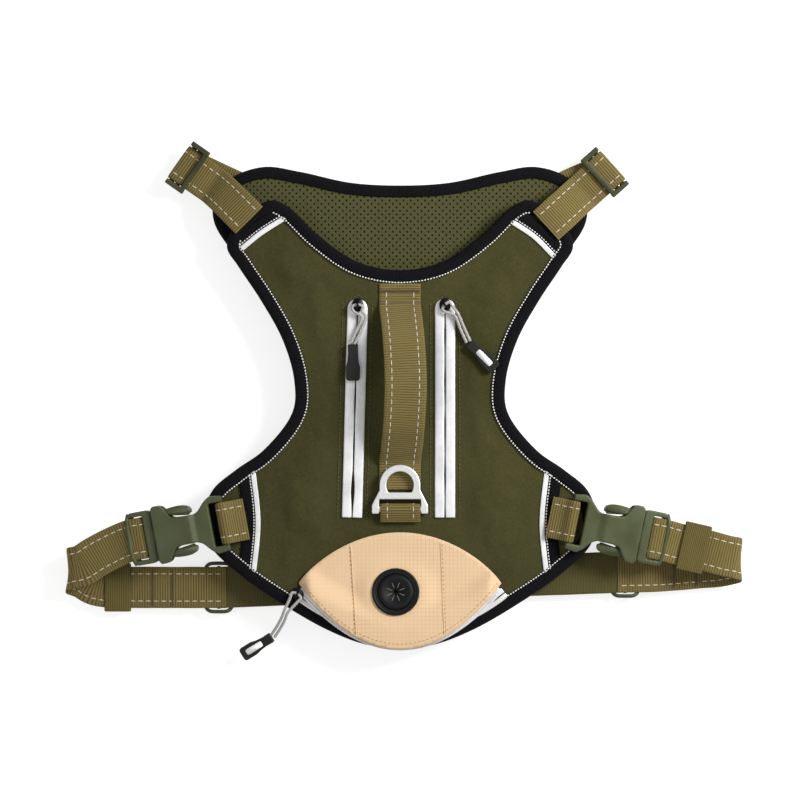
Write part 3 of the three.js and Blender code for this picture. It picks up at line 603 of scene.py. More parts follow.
def ribbed(name, dark, light, pitch=RIB_PITCH):
    """Webbing: painted shade between its ribs, with the fine threads that run along it."""
    look = Look(name, light, 0.85, Sheen_Weight=0.05, Specular_IOR_Level=0.15)
    where = look.place(uv=True)
    phase = look.math("MULTIPLY", look.parts(where)[0], math.pi / (pitch * MM))
    rib = look.math("POWER", look.math("ABSOLUTE", look.math("SINE", phase)), 0.8)
    thread = look.waves(where, 0.42, "Y", distortion=0.8)
    flecks = look.noise(where, 1300, 2, 0.6)
    shade = look.total((rib, 0.8), (flecks, 0.25), (look.noise(where, 45, 2), 0.22))
    # The rib term darkens the tint between the ribs, which is painted shade. The flecks and slow noise
    # vary the tone at random.
    look.tint(look.spread(shade, 0.2, 1.0), dark, light)
    look.bump(look.total((thread, 1), (flecks, 0.5)), 0.08, 0.7)
    return look.material


def spacer_mesh(name, dark, light):
    """Spacer mesh: rows of small round holes tinted near-black as painted shade, every second row shifted
    by half a pitch.
    """
    look = Look(name, light, 0.92, Sheen_Weight=0.03, Specular_IOR_Level=0.1)
    where = look.place()
    parts = look.parts(where)
    across, along = 4.3, 2.1
    y = look.math("DIVIDE", parts[1], along * MM)
    odd = look.math("MODULO", look.math("ABSOLUTE", look.math("FLOOR", y)), 2.0)
    x = look.total((look.math("DIVIDE", parts[0], across * MM), 1), (odd, 0.5))
    from_middle = []
    for value, size in ((x, across), (y, along * 0.85)):
        off = look.math("SUBTRACT", look.math("FRACT", value), 0.5)
        off = look.math("MULTIPLY", off, size)
        from_middle.append(look.math("MULTIPLY", off, off))
    hole = look.spread(look.math("SQRT", look.math("ADD", *from_middle)), 0.3, 0.68)
    knit = look.waves(where, 0.9, "DIAGONAL")
    flecks = look.math("MULTIPLY", look.noise(where, 1200, 2, 0.6), look.spread(knit, 0, 1, 0.6, 1.0))
    # The holes get the near-black colour 0c0d0a, which is painted shade in their depth.
    look.tint(hole, "0c0d0a", look.mix(flecks, dark, light))
    look.bump(look.total((hole, 2.0), (knit, 0.2)), 0.35, 0.8)
    return look.material


def grosgrain(name, dark, light):
    """Black edge tape with fine ribs across it, and painted shade between the ribs."""
    look = Look(name, light, 0.85, Specular_IOR_Level=0.08)
    where = look.place(uv=True)
    rib = look.waves(where, 0.75, "X", distortion=0.5)
    flecks = look.noise(where, 900, 2, 0.6)
    # The tint is darker between the ribs, which is painted shade.
    look.tint(look.math("MULTIPLY", rib, flecks), dark, light)
    look.bump(look.total((rib, 1), (flecks, 0.6)), 0.14, 0.8)
    return look.material


def plastic(name, dark, light):
    """Satin moulded plastic, spark-textured, paler where it is rubbed."""
    look = Look(name, light, 0.42, Specular_IOR_Level=0.3)
    where = look.place()
    cloud = look.noise(where, 60, 3)
    look.tint(look.spread(cloud, 0.3, 0.7), dark, light)
    look.set(look.shader, "Roughness", look.spread(cloud, 0.3, 0.7, 0.38, 0.52))
    look.bump(look.noise(where, 2600, 2, 0.6), 0.035, 0.5)
    return look.material


def rubber(name, colour):
    look = Look(name, colour, 0.55, Specular_IOR_Level=0.2)
    grain = look.noise(look.place(), 1800, 2, 0.6)
    look.tint(grain, colour, dimmed(colour, 1.7))
    look.bump(grain, 0.03, 0.5)
    return look.material


def satin_metal(name, colour, roughness, metallic=1.0):
    look = Look(name, colour, roughness, metallic)
    brushed = look.noise(look.place(), 900, 2, 0.7)
    look.tint(brushed, dimmed(colour, 0.86), colour)
    look.set(look.shader, "Roughness", look.spread(brushed, 0.3, 0.7, roughness, roughness + 0.14))
    look.bump(brushed, 0.012, 0.4)
    return look.material


def reflective(name, dark, light, roughness=0.35):
    """Retroreflective film: fine glass beads under a thin, slightly creased surface, with painted shade in
    the creases.
    """
    look = Look(name, light, roughness, 0.15)
    where = look.place()
    grains = look.noise(where, 2800, 1)
    crease = look.noise(where, 70, 3, 0.6)
    # The tint follows the creases and is darker in their hollows, which is painted shade.
    look.tint(look.spread(crease, 0.3, 0.65), dark, light)
    look.bump(look.total((grains, 0.2), (crease, 1)), 0.05, 0.4)
    return look.material


def ripstop(name, dark, light):
    """Sand-coloured cloth with the thicker threads of a ripstop grid."""
    look = Look(name, light, 0.85, Specular_IOR_Level=0.15)
    where = look.place()
    lines = [look.spread(look.waves(where, 2.4, axis, distortion=0.25), 0.9, 1.0) for axis in "XY"]
    grid = look.math("MAXIMUM", *lines)
    flecks = look.noise(where, 1300, 2, 0.6)
    shade = look.math("MULTIPLY", grid, look.spread(look.noise(where, 30, 2), 0.3, 0.7, 0.05, 0.32))
    look.tint(look.total((shade, 1), (flecks, 0.25)), light, dark)
    look.bump(look.total((grid, 0.25), (flecks, 1)), 0.08, 0.7)
    return look.material


def braid(name, dark, light):
    """Braided cord: two sets of strands that cross at a slant."""
    look = Look(name, light, 0.7, Sheen_Weight=0.2)
    where = look.place()
    one, two = look.waves(where, 0.9, "DIAGONAL", distortion=1.5), look.noise(where, 1100, 2)
    look.tint(look.math("MULTIPLY", one, two), dark, light)
    look.bump(look.math("ADD", one, two), 0.12, 0.8)
    return look.material


def thread_look(name, colour):
    look = Look(name, colour, 0.45, Sheen_Weight=0.2)
    twist = look.waves(look.place(), 0.5, "DIAGONAL")
    look.tint(twist, dimmed(colour, 0.8), colour)
    look.bump(twist, 0.05, 0.6)
    return look.material


def foam_look():
    look = Look("padding_foam", (0.03, 0.03, 0.028), 0.95)
    cells = look.noise(look.place(), 1100, 3, 0.7)
    look.tint(cells, (0.018, 0.018, 0.017), (0.05, 0.05, 0.046))
    look.bump(cells, 0.3, 0.7)
    return look.material


LOOKS = {
    "shell": canvas("olive_canvas", "2e2d18", "504e2c"),
    "lining": spacer_mesh("olive_spacer_mesh", "3a3a22", "63623e"),
    # The dark colours of the grosgrain, webbing and film looks below also paint shade, between ribs and in
    # creases.
    "binding": grosgrain("black_grosgrain", "030304", "26262b"),
    "web": ribbed("olive_webbing", "362c10", "7d6f42"),
    "handle": ribbed("handle_webbing", "42381a", "7f7144"),
    "plain_web": ribbed("plain_webbing", "33300f", "5d5734", 0.9),
    "sleeve": ribbed("keeper_webbing", "2b230c", "6e6237", 1.1),
    "plastic": plastic("olive_plastic", "43482b", "50563a"),
    "glide": plastic("olive_slide_plastic", "353620", "45462c"),
    "film": reflective("reflective_film", "dcdcdd", "f6f6f6"),
    "thread": thread_look("white_thread", "f0eee8"),
    "dash": thread_look("pale_thread", "d8d3c0"),
    "inlay": rubber("pull_inlay", "e4e4e2"),
    "olive_thread": thread_look("olive_thread", "5a5130"),
    "brown_thread": thread_look("brown_thread", "4f3f1f"),
    "tan_thread": thread_look("tan_thread", "b48a5c"),
    "metal": satin_metal("ring_metal", "f7f7f5", 0.3, 0.55),
    "slider": satin_metal("black_slider", "26272a", 0.35),
    "pull": rubber("pull_rubber", "1d1e1b"),
    "port": rubber("port_rubber", "0c0d0d"),
    "sand": ripstop("sand_ripstop", "b08b62", "e8c8a2"),
    "cord": braid("grey_cord", "98968f", "d6d4cd"),
    "foam": foam_look(),
    "dark": rubber("zip_opening", "0a0a0b"),
    "slit": rubber("port_slit", "5f5a4c"),
}


# ---- The camera and the scene ----
def studio():
    """The camera straight above, a pale floor, soft lamps and a white world."""
    camera_view()
    floor()
    world = bpy.data.worlds.new("studio")
    world.use_nodes = True
    light = world.node_tree.nodes["Background"].inputs
    light[0].default_value = (1, 1, 1, 1)
    light[1].default_value = 0.42
    bpy.context.scene.world = world
    lamps = [("key", (0.8, 0.4, 0.75), 14, 0.4), ("fill", (-0.9, -0.5, 1.6), 4, 1.2)]
    for name, place, watts, width in lamps:
        lamp = bpy.data.lights.new(name, "AREA")
        lamp.energy, lamp.size = watts, width
        made = linked(name, lamp)
        made.location = place
        made.rotation_euler = (-Vector(place)).to_track_quat("-Z", "Y").to_euler()
    bpy.context.scene.view_settings.view_transform = "Standard"


def camera_view():
    away, sensor, view_width = 3.0, 36, 480 * MM
    data = bpy.data.cameras.new("camera")
    data.sensor_width = sensor
    data.lens = sensor * (away - FACE * MM) / view_width
    camera = linked("camera", data)
    x, y, _ = row([0, 0, FACE])
    camera.location = (x, y, away)
    bpy.context.scene.camera = camera


def floor():
    size, low = 6.0, -FLOOR_DROP * MM
    corners = [(-size, -size, low), (size, -size, low), (size, size, low), (-size, size, low)]
    mesh = bpy.data.meshes.new("floor")
    mesh.from_pydata(corners, [], [(0, 1, 2, 3)])
    pale = Look("pale_floor", (0.5,) * 3, 0.9, Emission_Color=(1, 1, 1, 1), Emission_Strength=0.72)
    pale.tint(pale.noise(pale.place(), 3, 2), (0.48,) * 3, (0.52,) * 3)
    mesh.materials.append(pale.material)
    linked("floor", mesh)


# ---- Panels ----
BACK = mirrored(BACK_HALF)
CHEST = mirrored(CHEST_HALF)


def pocket_line(share, edge):
    """The lens shape of the pocket's front: x and y along its upper or lower edge."""
    x = POCKET["tip"] * np.clip(share, -1, 1)
    reach = POCKET[edge] - POCKET["tip_y"]
    fullness = 0.86 if edge == "top" else 1.0
    return x, POCKET["tip_y"] + reach * (1 - np.abs(share) ** 2) ** fullness


def lens(grow=0.0):
    """The closed outline of the pocket's front."""
    share = np.cos(np.linspace(0, math.pi, 60))
    upper = np.column_stack(pocket_line(share, "top"))
    lower = np.column_stack(pocket_line(-share, "bottom"))[1:-1]
    outline = np.vstack([upper, lower])
    return outline - inwards(outline) * grow


def kept_flat(x, y):
    """1 where something lies on the back panel or is sewn to it, 0 where the cloth is free."""
    flat = 1 - smoothstep(off_outline(x, y, BACK), BINDING_WIDTH + 2, BINDING_WIDTH + 16)
    for side in SIDES.values():
        top, low = side["zip"]
        middle = low + (top - low) * (y - ZIP["low"]) / (ZIP["high"] - ZIP["low"])
        beside = np.maximum(np.abs(x - middle) - 9, np.maximum(y - 64, -76 - y))
        flat = np.maximum(flat, 1 - smoothstep(beside, 0, 11))
        flank = [(side["sign"] * fx, fy) for fx, fy in FLANK_STRIP]
        for points in (flank, side["strip"]):
            line = spaced(spline(points), 3.0)
            near = np.min(np.hypot(x[:, None] - line[:, 0], y[:, None] - line[:, 1]), axis=1)
            flat = np.maximum(flat, 1 - smoothstep(near, 11, 20))
        bx, by, _ = side["buckle"]
        flat = np.maximum(flat, 1 - smoothstep(np.hypot(x - bx, y - by), 17, 28))
    for low, high in ((52, 80), (-80, -34)):
        beside = np.maximum(np.abs(x) - 13.5, np.maximum(y - high, low - y))
        flat = np.maximum(flat, 1 - smoothstep(beside, 0, 8))
    off = np.where(within(x, y, lens()), 0, off_outline(x, y, lens()))
    return np.maximum(flat, 1 - smoothstep(off, 4, 14))


def soft_folds(points, faces, held, grow, seed):
    """Cloth held at its seams and cut a little too large, which stands in soft folds: its heights."""
    mesh = bpy.data.meshes.new("cloth")
    start = ripple(points, 26.0, seed) * 0.25
    mesh.from_pydata((np.column_stack([points, start]) * MM).tolist(), [], faces.tolist())
    cloth = linked("cloth", mesh)
    group = cloth.vertex_groups.new(name="held")
    for index, share in enumerate(held):
        if share > 0.5:
            group.add([index], 1.0, "REPLACE")
    made = cloth.modifiers.new("Cloth", "CLOTH")
    made.settings.quality = 6
    made.settings.mass = 0.2
    made.settings.tension_stiffness = made.settings.compression_stiffness = 20
    made.settings.shear_stiffness = 8
    made.settings.bending_stiffness = 0.4
    made.settings.shrink_min = -grow
    made.settings.vertex_group_mass = "held"
    made.settings.effector_weights.gravity = -0.25
    made.point_cache.frame_end = 30
    for step in range(1, 31):
        bpy.context.scene.frame_set(step)
    done = cloth.evaluated_get(bpy.context.evaluated_depsgraph_get()).to_mesh()
    heights = np.array([v.co.z for v in done.vertices]) / MM
    bpy.data.objects.remove(cloth, do_unlink=True)
    bpy.context.scene.frame_set(1)
    return heights


def room_above(x, y):
    """How far the cloth may stand up: less where a pull swings over it."""
    room = np.full(len(x), CLOTH_ROOM)
    for side in SIDES.values():
        px, py = side["pull"]["end"]
        away = np.hypot(x - px, y - py + 10)
        room = np.minimum(room, PULL_ROOM + 1.6 * smoothstep(away, 22, 32))
    return room


def shrunk(outline, by):
    return outline + inwards(outline) * by


def cloth_sheet(name, outline, spacing, node, look, slot, lift, simulate=None):
    """One layer of a panel: a closed sheet where its CAD node lies, raised by lift(x, y)."""
    low, high = height(node, 0), height(node, 1)
    top = lambda x, y: high + lift(x, y)
    points, faces, count, upper = slab(outline, spacing, top, high - low)
    if simulate is not None:
        heights = simulate(points[:count, :2], upper)
        raised = np.minimum(points[:count, 2] + heights, high + room_above(*points[:count, :2].T))
        points[:, 2] += np.tile(raised - points[:count, 2], 2)
    made = piece(name, points, faces, look, "root", (node,), slot)


def back_folds(points, faces):
    held = kept_flat(*points.T)
    heights = soft_folds(points, faces, held, 0.012, 3.0)
    return np.clip(heights * (1 - held), -0.3, 2.6)


def waves_of(x, y, size, seed):
    return ripple(np.column_stack([x, y]), size, seed)


def creases(x, y):
    """Shallow pulls in the cloth that run from the handle towards the corners."""
    turned = waves_of(x * 0.45 + y * 0.25 * np.sign(x), y - 0.35 * np.abs(x), 15.0, 5.0)
    return 0.42 * turned + 0.16 * waves_of(x, y, 7.0, 8.0)


def back_lift(x, y):
    free = 1 - kept_flat(x, y)
    edge = smoothstep(off_outline(x, y, BACK), BINDING_WIDTH, BINDING_WIDTH + 5)
    puckers = 0.3 * edge * (1 - free) * waves_of(x, y, 9.0, 4.0)
    return np.minimum(free * (0.8 + creases(x, y)) + puckers, room_above(x, y))


def chest_lift(x, y):
    edge = smoothstep(off_outline(x, y, CHEST), BINDING_WIDTH, BINDING_WIDTH + 12)
    return edge * (0.7 + 0.5 * waves_of(x, y, 30.0, 9.0))


def foam_pad(name, node, outline):
    low, high = height(node, 0), height(node, 1)
    inner = shrunk(outline, BINDING_WIDTH + 2)
    edge = lambda x, y: high - 0.4 * (1 - smoothstep(off_outline(x, y, inner), 0, 6))
    points, faces = slab(inner, 6.0, edge, high - low - 0.5)[:2]
    made = piece(name, points, faces, LOOKS["foam"], "root", (node,), "foam")


def panels():
    inner, chest = shrunk(BACK, 1.2), shrunk(CHEST, 1.2)
    under = lambda x, y: -0.5 * (1 - kept_flat(x, y))
    plain = lambda x, y: 0.15 * waves_of(x, y, 24.0, 2.0)
    shell, lining = (LOOKS["shell"], "olive_fabric"), (LOOKS["lining"], "mesh_lining")
    cloth_sheet("back_shell_cloth", inner, 2.6, "back_shell", *shell, back_lift, back_folds)
    cloth_sheet("back_lining_mesh", inner, 4.5, "back_lining", *lining, under)
    cloth_sheet("chest_lining_mesh", chest, 3.2, "chest_lining", *lining, chest_lift)
    cloth_sheet("chest_shell_cloth", chest, 4.5, "chest_shell", *shell, plain)
    foam_pad("back_foam_pad", "back_foam", BACK)
    foam_pad("chest_foam_pad", "chest_foam", CHEST)


# ---- Binding and piping ----
def bound_edge(name, node, outline, bottom, top, seed):
    """Tape folded round a panel's edge, a little full over the padding and uneven as sewn tape is."""
    line = spaced(outline, 1.4, closed=True)
    w, t, middle = BINDING_WIDTH, 0.6, (top + bottom) / 2
    upper = [(w, top - 0.15), (w - 0.7, top + 0.15), (w * 0.6, top + 0.38), (w * 0.3, top + 0.3),
             (1.1, top - 0.15), (0.25, top - 1.2)]
    lower = [(d, 2 * middle - z) for d, z in upper[::-1]]
    outer = upper + [(0.0, middle)] + lower
    inner = [(w, bottom + t - 0.1), (1.4, bottom + t), (t + 0.2, middle), (1.4, top - t),
             (w, top - t + 0.1)]
    profile = np.array(outer + inner)
    proud = np.array([1.0] * len(outer) + [0.0] * len(inner)) * np.sign(profile[:, 1] - middle)
    wave = ripple(at_height(line, 0), 13.0, seed)
    points = np.zeros((len(line), len(profile), 3))
    points[..., :2] = line[:, None] + inwards(line)[:, None] * profile[None, :, :1]
    points[..., 2] = profile[None, :, 1] + 0.16 * wave[:, None] * proud[None]
    uv = np.stack(np.broadcast_arrays(lengths(line)[:, None], lengths(profile)[None]), axis=-1)
    faces = rings(len(line), len(profile), closed=True)
    faces = [f[::-1] for f in faces] if signed_area(line) < 0 else faces
    return piece(name, points.reshape(-1, 3), faces, LOOKS["binding"], "root", (node,),
                 "black_binding", uv.reshape(-1, 2))


def round_line(name, line, radius, look, body, replaces=(), slot=None, closed=False, around=8):
    """A round cord or piping along a line of points."""
    along = np.roll(line, -1, axis=0) - np.roll(line, 1, axis=0) if closed else np.gradient(line, axis=0)
    along = unit(along)
    side = unit(np.cross(along, np.array([0.0, 0.0, 1.0])))
    up = np.cross(side, along)
    turn = np.linspace(0, math.tau, around, endpoint=False)[None, :, None]
    points = line[:, None] + radius * (np.cos(turn) * side[:, None] + np.sin(turn) * up[:, None])
    faces = rings(len(line), around, closed)
    return piece(name, points.reshape(-1, 3), faces, look, body, replaces, slot)


def edges():
    bound_edge("back_edge_binding", "back_binding", BACK, height("back_binding", 0), BACK_TOP, 2.0)
    bound_edge("chest_edge_binding", "chest_binding", CHEST, height("chest_binding", 0),
               height("chest_binding", 1), 6.0)
    inset = spaced(shrunk(BACK, BINDING_WIDTH + 0.35), 1.5, closed=True)
    round_line("piping_core", at_height(inset, FACE + 0.35), 0.62, LOOKS["binding"], "root", (),
               "black_binding", closed=True)
    runs = open_runs(inset, under_straps(inset))
    made = beads("piping_beads", [upright(run, FACE + 0.85) for run in runs])
    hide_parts("back_piping")


def under_straps(line):
    """Which points of a line round the back panel lie under a shoulder strap or a buckle's loop."""
    covered = np.zeros(len(line), bool)
    for side in SIDES.values():
        strap_at = np.array(side["start"][0]) * 1.03
        covered |= np.hypot(*(line - strap_at).T) < 11.5
        x, y, turn = side["buckle"]
        loop_at = np.array([x, y]) + heading(turn)[:2] * 9
        covered |= np.linalg.norm(line - loop_at, axis=1) < 17
    return covered


def open_runs(line, covered, least=5):
    """The stretches of a closed line between its covered points."""
    runs, current = [], []
    first = int(np.argmax(covered))
    for i in [*range(first, len(line)), *range(first + 1)]:
        if not covered[i]:
            current.append(line[i])
            continue
        if len(current) >= least:
            runs.append(np.array(current))
        current = []
    return runs


# ---- Trim, strips and stitched lines on the panels ----
def offset_line(line, by):
    """A plain line moved to its left."""
    along = unit(np.gradient(line, axis=0))
    return line + np.column_stack([-along[:, 1], along[:, 0]]) * np.reshape(by, (-1, 1))


def zip_rim(line, half):
    """Points and faces of the zip tape's rim, which lies on the binding and narrows as half does."""
    low, high = BACK_TOP + 0.05, BACK_TOP + 0.75
    across = [(-1, low), (-1, high - 0.3), (-0.8, high), (-0.15, high), (0, high - 0.25),
              (0.15, high), (0.8, high), (1, high - 0.3), (1, low)]
    ring = [at_height(offset_line(line, half * side), z) for side, z in across]
    return np.stack(ring, axis=1).reshape(-1, 3), rings(len(line), len(ring))


def flat_ribbon(name, line, from_, to, z, thick, look, slot, node=(), crown=0.0):
    """A flat band between two distances to the left of a plain line, with rounded long edges."""
    share = np.linspace(0, 1, 9)
    shape = np.sqrt(np.clip(1 - np.abs(2 * share - 1) ** 6, 0.05, 1))
    bulge = thick * (0.75 + 0.25 * shape) + crown * (1 - (2 * share - 1) ** 2)
    lines = [offset_line(line, from_ + (to - from_) * s) for s in share]
    upper = [at_height(points, z + rise) for points, rise in zip(lines, bulge)]
    lower = [at_height(points, z) for points in lines[::-1]]
    made = np.stack(upper + lower, axis=1).reshape(-1, 3)
    over = np.concatenate([share, share[::-1]]) * abs(to - from_)
    uv = np.stack(np.broadcast_arrays(lengths(line)[:, None], over[None]), axis=-1).reshape(-1, 2)
    return piece(name, made, rings(len(line), 18), look, "root", node, slot, uv)


def corner_bands():
    """The four reflective strips, each with a black band and a beaded seam beside it."""
    for side, place in SIDES.items():
        sign = place["sign"]
        flank = [(sign * x, y) for x, y in FLANK_STRIP]
        for where, line, way in (("shoulder", place["strip"], -sign), ("flank", flank, sign)):
            smooth = spaced(spline(line), 1.0)
            smooth = smooth[off_outline(*smooth.T, BACK) > 5.2]
            edge = way * REFLECTOR / 2
            flat_ribbon(f"{where}_strip_{side}", smooth, -edge, edge, FACE + 0.05, 0.5, LOOKS["film"],
                        "reflective", (f"{where}_reflector_{side}",), 0.12)
            flat_ribbon(f"{where}_band_{side}", smooth, edge + way * 0.12, edge + way * (GAP + TRIM),
                        FACE + 0.05, 0.62, LOOKS["binding"], "black_binding",
                        (f"{where}_trim_{side}",), 0.3)
            seam = offset_line(smooth, edge + way * 0.9)[2:-2]
            beads(f"{where}_beads_{side}", [upright(seam, FACE + 0.84)], 0.85, 0.3)


# ---- Zips ----
def zip_frame(side):
    """A zip's own frame: its low end, and the directions along it and to its right."""
    top, low = SIDES[side]["zip"]
    along = unit(np.array([top - low, ZIP["high"] - ZIP["low"]], float))
    return np.array([low, ZIP["low"]], float), along, np.array([along[1], -along[0]])


def gape(side, s):
    """Half the width of the slit between a zip's two lips, along it."""
    wide = 0.32 + 0.2 * np.sin(s / 9.0 + (0 if side == "left" else 2)) ** 2
    if side == "left":
        wide = wide + 0.55 * np.exp(-((s - 17.0) / 9.0) ** 2)
    return wide


def zips():
    length = ZIP["high"] - ZIP["low"]
    for side, place in SIDES.items():
        base, along, right = zip_frame(side)
        for hand, name in ((-1, "in"), (1, "out")):
            zip_lip(side, hand, name)
        slit = base + np.outer(np.linspace(2, length - 5, 60), along)
        flat_ribbon(f"zip_slit_{side}", slit, -2.2, 2.2, FACE + 0.02, 0.3, LOOKS["dark"], "black_metal")
        eye = base + along * (ZIP["start"] - ZIP["low"])
        slider_eye(f"zip_slider_{side}", eye, along, place["pull"]["turn"])
        up = base + np.outer(np.linspace(-1, length - 3, 40), along)
        beside = right * (ZIP["width"] / 2 + ZIP["seam"])
        end = base + along * (length + ZIP["seam"])
        outline = spaced(np.vstack([up + beside, end, (up - beside)[::-1]]), 1.0)
        threads(f"zip_stitches_{side}", [upright(outline, FACE + 0.15)], LOOKS["olive_thread"],
                "root", "olive_fabric", 1.9, 2.6, 0.45, 0.18)


def zip_lip(side, hand, name):
    """One crowned lip of a zip, its upper end rounded."""
    base, along, right = zip_frame(side)
    length, half = ZIP["high"] - ZIP["low"], ZIP["width"] / 2
    s = np.linspace(0, length, 150)
    past = np.clip(s - (length - half), 0, half)
    outer = half - (half - np.sqrt(np.clip(half**2 - past**2, 0.2, None))) * 0.8
    inner = np.minimum(gape(side, s), outer - 0.3)
    ring = []
    for share in np.linspace(0, 1, 9):
        crown = 0.75 * math.sin(math.pi * (0.3 + share * 0.69)) ** 0.6
        ring.append((inner + (outer - inner) * share, FACE + 0.5 + crown * (0.95 if share else 0.8)))
    ring += [(outer, FACE + 0.02), (inner, FACE + 0.02)]
    lines = [at_height(base + np.outer(s, along) + np.outer(hand * off, right), z) for off, z in ring]
    points = np.stack(lines, axis=1).reshape(-1, 3)
    faces = rings(len(s), len(ring))
    faces = faces if hand < 0 else [f[::-1] for f in faces]
    uv = np.stack(np.broadcast_arrays(s[:, None], np.arange(len(ring))[None]), axis=-1)
    node = (f"zip_tape_{side}",) if hand < 0 else ()
    piece(f"zip_lip_{side}_{name}", points, faces, LOOKS["film"], "root", node, "reflective",
          uv.reshape(-1, 2))


def slider_eye(node, centre, along, turn=0.0):
    """A slider sunk between the lips: its round top plate and the arch that holds the cord."""
    plate(node, centre, along)
    bend = np.linspace(0, math.pi, 13)
    ends = centre + np.outer(np.cos(bend) * 2.1, heading(90 + turn)[:2])
    arch = at_height(ends, SLIDER_LOW + 1.3 + np.sin(bend) * 3.4)
    round_line(f"{node}_arch", arch, 0.6, LOOKS["slider"], node, (), "black_metal")


def plate(node, centre, along):
    """A slider's oval top, with its upper edge bevelled."""
    half_wide, half_long, low, thick, count = 3.5, 4.1, SLIDER_LOW + 0.2, 1.4, 36
    turn = np.linspace(0, math.tau, count, endpoint=False)
    right = np.array([along[1], -along[0]])
    rim = np.outer(np.cos(turn) * half_wide, right) + np.outer(np.sin(turn) * half_long, along)
    layers = [(1.0, low), (1.0, low + thick * 0.6), (0.86, low + thick)]
    points = [at_height(centre + rim * size, z) for size, z in layers]
    faces = [f[::-1] for f in rings(len(layers), count)]
    piece(f"{node}_plate", np.vstack(points), faces, LOOKS["slider"], node, (node,), "black_metal")


def frame_mesh(node):
    """A copy of a CAD node's mesh, in the row frame."""
    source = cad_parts[node]
    copy = source.data.copy()
    copy.transform(source.matrix_world)
    return copy


def moulded(node, body, look, slot, voxel=0.5, rounds=3, grow=0.0):
    """The node's own mesh, remeshed finely and smoothed, so that its edges are rounded."""
    made = linked(f"{node}_moulded", frame_mesh(node))
    remesh = made.modifiers.new("Remesh", "REMESH")
    remesh.mode = "VOXEL"
    remesh.voxel_size = voxel * MM
    smooth = made.modifiers.new("Smooth", "SMOOTH")
    smooth.factor = 0.6
    smooth.iterations = rounds
    if grow:
        fuller = made.modifiers.new("Fuller", "DISPLACE")
        fuller.mid_level = 0
        fuller.strength = grow * MM
    graph = bpy.context.evaluated_depsgraph_get()
    shape = bpy.data.meshes.new_from_object(made.evaluated_get(graph))
    made.modifiers.clear()
    made.data = shape
    shape.materials.clear()
    shape.materials.append(look)
    shape.polygons.foreach_set("use_smooth", [True] * len(shape.polygons))
    shape.update()
    return settle_on(made, body, (node,))


def hard_parts():
    green = (LOOKS["plastic"], "green_plastic")
    grey = (LOOKS["pull"], "rubber_grey")
    for side, place in SIDES.items():
        plug = f"buckle_plug_{side}"
        moulded(f"buckle_socket_{side}", "root", *green, rounds=10)
        moulded(plug, plug, *green, rounds=6)
        plug_rail(side)
        for hand, way in (("upper", 1), ("lower", -1)):
            arm = f"buckle_arm_{hand}_{side}"
            moulded(arm, arm, *green, 0.4, 3)
            arm_cover(side, way * place["sign"], arm)
        slide = f"shoulder_slide_{side}"
        moulded(slide, slide, LOOKS["glide"], "green_plastic", 0.42, 8)
        belly_slide(side)
        pull = f"zip_pull_{side}"
        moulded(pull, pull, *grey, 0.35, 4)
    rest = math.radians(POCKET_ZIP["rest"])
    along = np.array([-math.cos(rest), math.sin(rest)])
    slider_eye("pocket_zip_slider", pocket_zip_rest(), along, -30)
    moulded("pocket_zip_pull", "pocket_zip_pull", *grey, 0.35, 3)
    moulded("leash_ring", "leash_ring", LOOKS["metal"], "ring_alloy", 0.28, 7, 0.32)
    pull, middle = SIDES["right"]["pull"], FACE + ZIP["thick"] + 0.5 + PULL_THICK / 2
    inlay("zip_pull_right", np.array([*pull["end"], middle]) - heading(90 + pull["turn"]) * 0.9,
          pull["turn"], 0)
    inlay("pocket_zip_pull", np.array([-77.1, -142.6, 11.1]), -58, 17)


def pocket_zip_rest():
    """Where the pocket zip's slider stands at rest, in plan."""
    rest = math.radians(POCKET_ZIP["rest"])
    return POCKET_ZIP["radius"] * np.array([-math.sin(rest), -math.cos(rest)]) + [0, POCKET_ZIP["y"]]


def plug_rail(side):
    """The plug's outer rail, which crosses over the strap, bowed outwards."""
    local = buckle_frame(side)
    aside = heading(SIDES[side]["buckle"][2] + 90)
    share = np.linspace(-1, 1, 25)
    line = [local(PLUG_END - 0.4 - 1.6 * t**4, 3.0 - 1.6 * t**8) + aside * 15.2 * t for t in share]
    round_line(f"buckle_plug_{side}_rail", np.array(line), 1.15, LOOKS["plastic"],
               f"buckle_plug_{side}", (), "green_plastic", around=10)


def squarer(value, power):
    """A sine or cosine pushed outwards, so that a circle becomes a rounded rectangle."""
    return np.sign(value) * np.abs(value) ** power


def belly_slide(side):
    """A flat slide whose bars lie under the webbing, so that only its ends show beside it."""
    x, y = SIDES[side]["back"][-1]
    z = GLIDE_REST
    half = WEB_WIDTH / 2 + 2.1
    turn = np.linspace(0, math.tau, 40, endpoint=False)
    line = np.column_stack([x + squarer(np.cos(turn), 0.45) * 8.7,
                            y + squarer(np.sin(turn), 0.45) * half,
                            z - 2.2 * (1 - np.abs(np.sin(turn)) ** 6)])
    line = spaced(line, 0.8, closed=True)
    node = f"belly_slide_{side}"
    round_line(f"{node}_frame", line, 1.15, LOOKS["glide"], node, (node,), "green_plastic", True, 10)
    reach = WEB_WIDTH / 2 + 0.4
    bar = np.column_stack([np.full(20, x), np.linspace(y - reach, y + reach, 20), np.full(20, z - 2.1)])
    round_line(f"{node}_bar", bar, 1.1, LOOKS["glide"], node, (), "green_plastic", around=10)


def inlay(node, origin, turn, fall):
    """The pale window in the middle of a flat pull that is turned in plan and tipped down."""
    corners = np.linspace(0, math.tau, 40, endpoint=False)
    x = squarer(np.sin(corners), 0.35) * 1.8
    y = -12.6 + squarer(np.cos(corners), 0.35) * 5.8
    tip, spin = math.radians(fall), math.radians(turn)
    layers = []
    for z in (PULL_THICK / 2 - 0.6, PULL_THICK / 2 + 0.06):
        down, high = y * math.cos(tip) - z * math.sin(tip), y * math.sin(tip) + z * math.cos(tip)
        layers.append(origin + np.column_stack([x * math.cos(spin) - down * math.sin(spin),
                                                x * math.sin(spin) + down * math.cos(spin), high]))
    piece(f"{node}_window", np.vstack(layers), rings(2, 40), LOOKS["inlay"], node, (), "reflective")


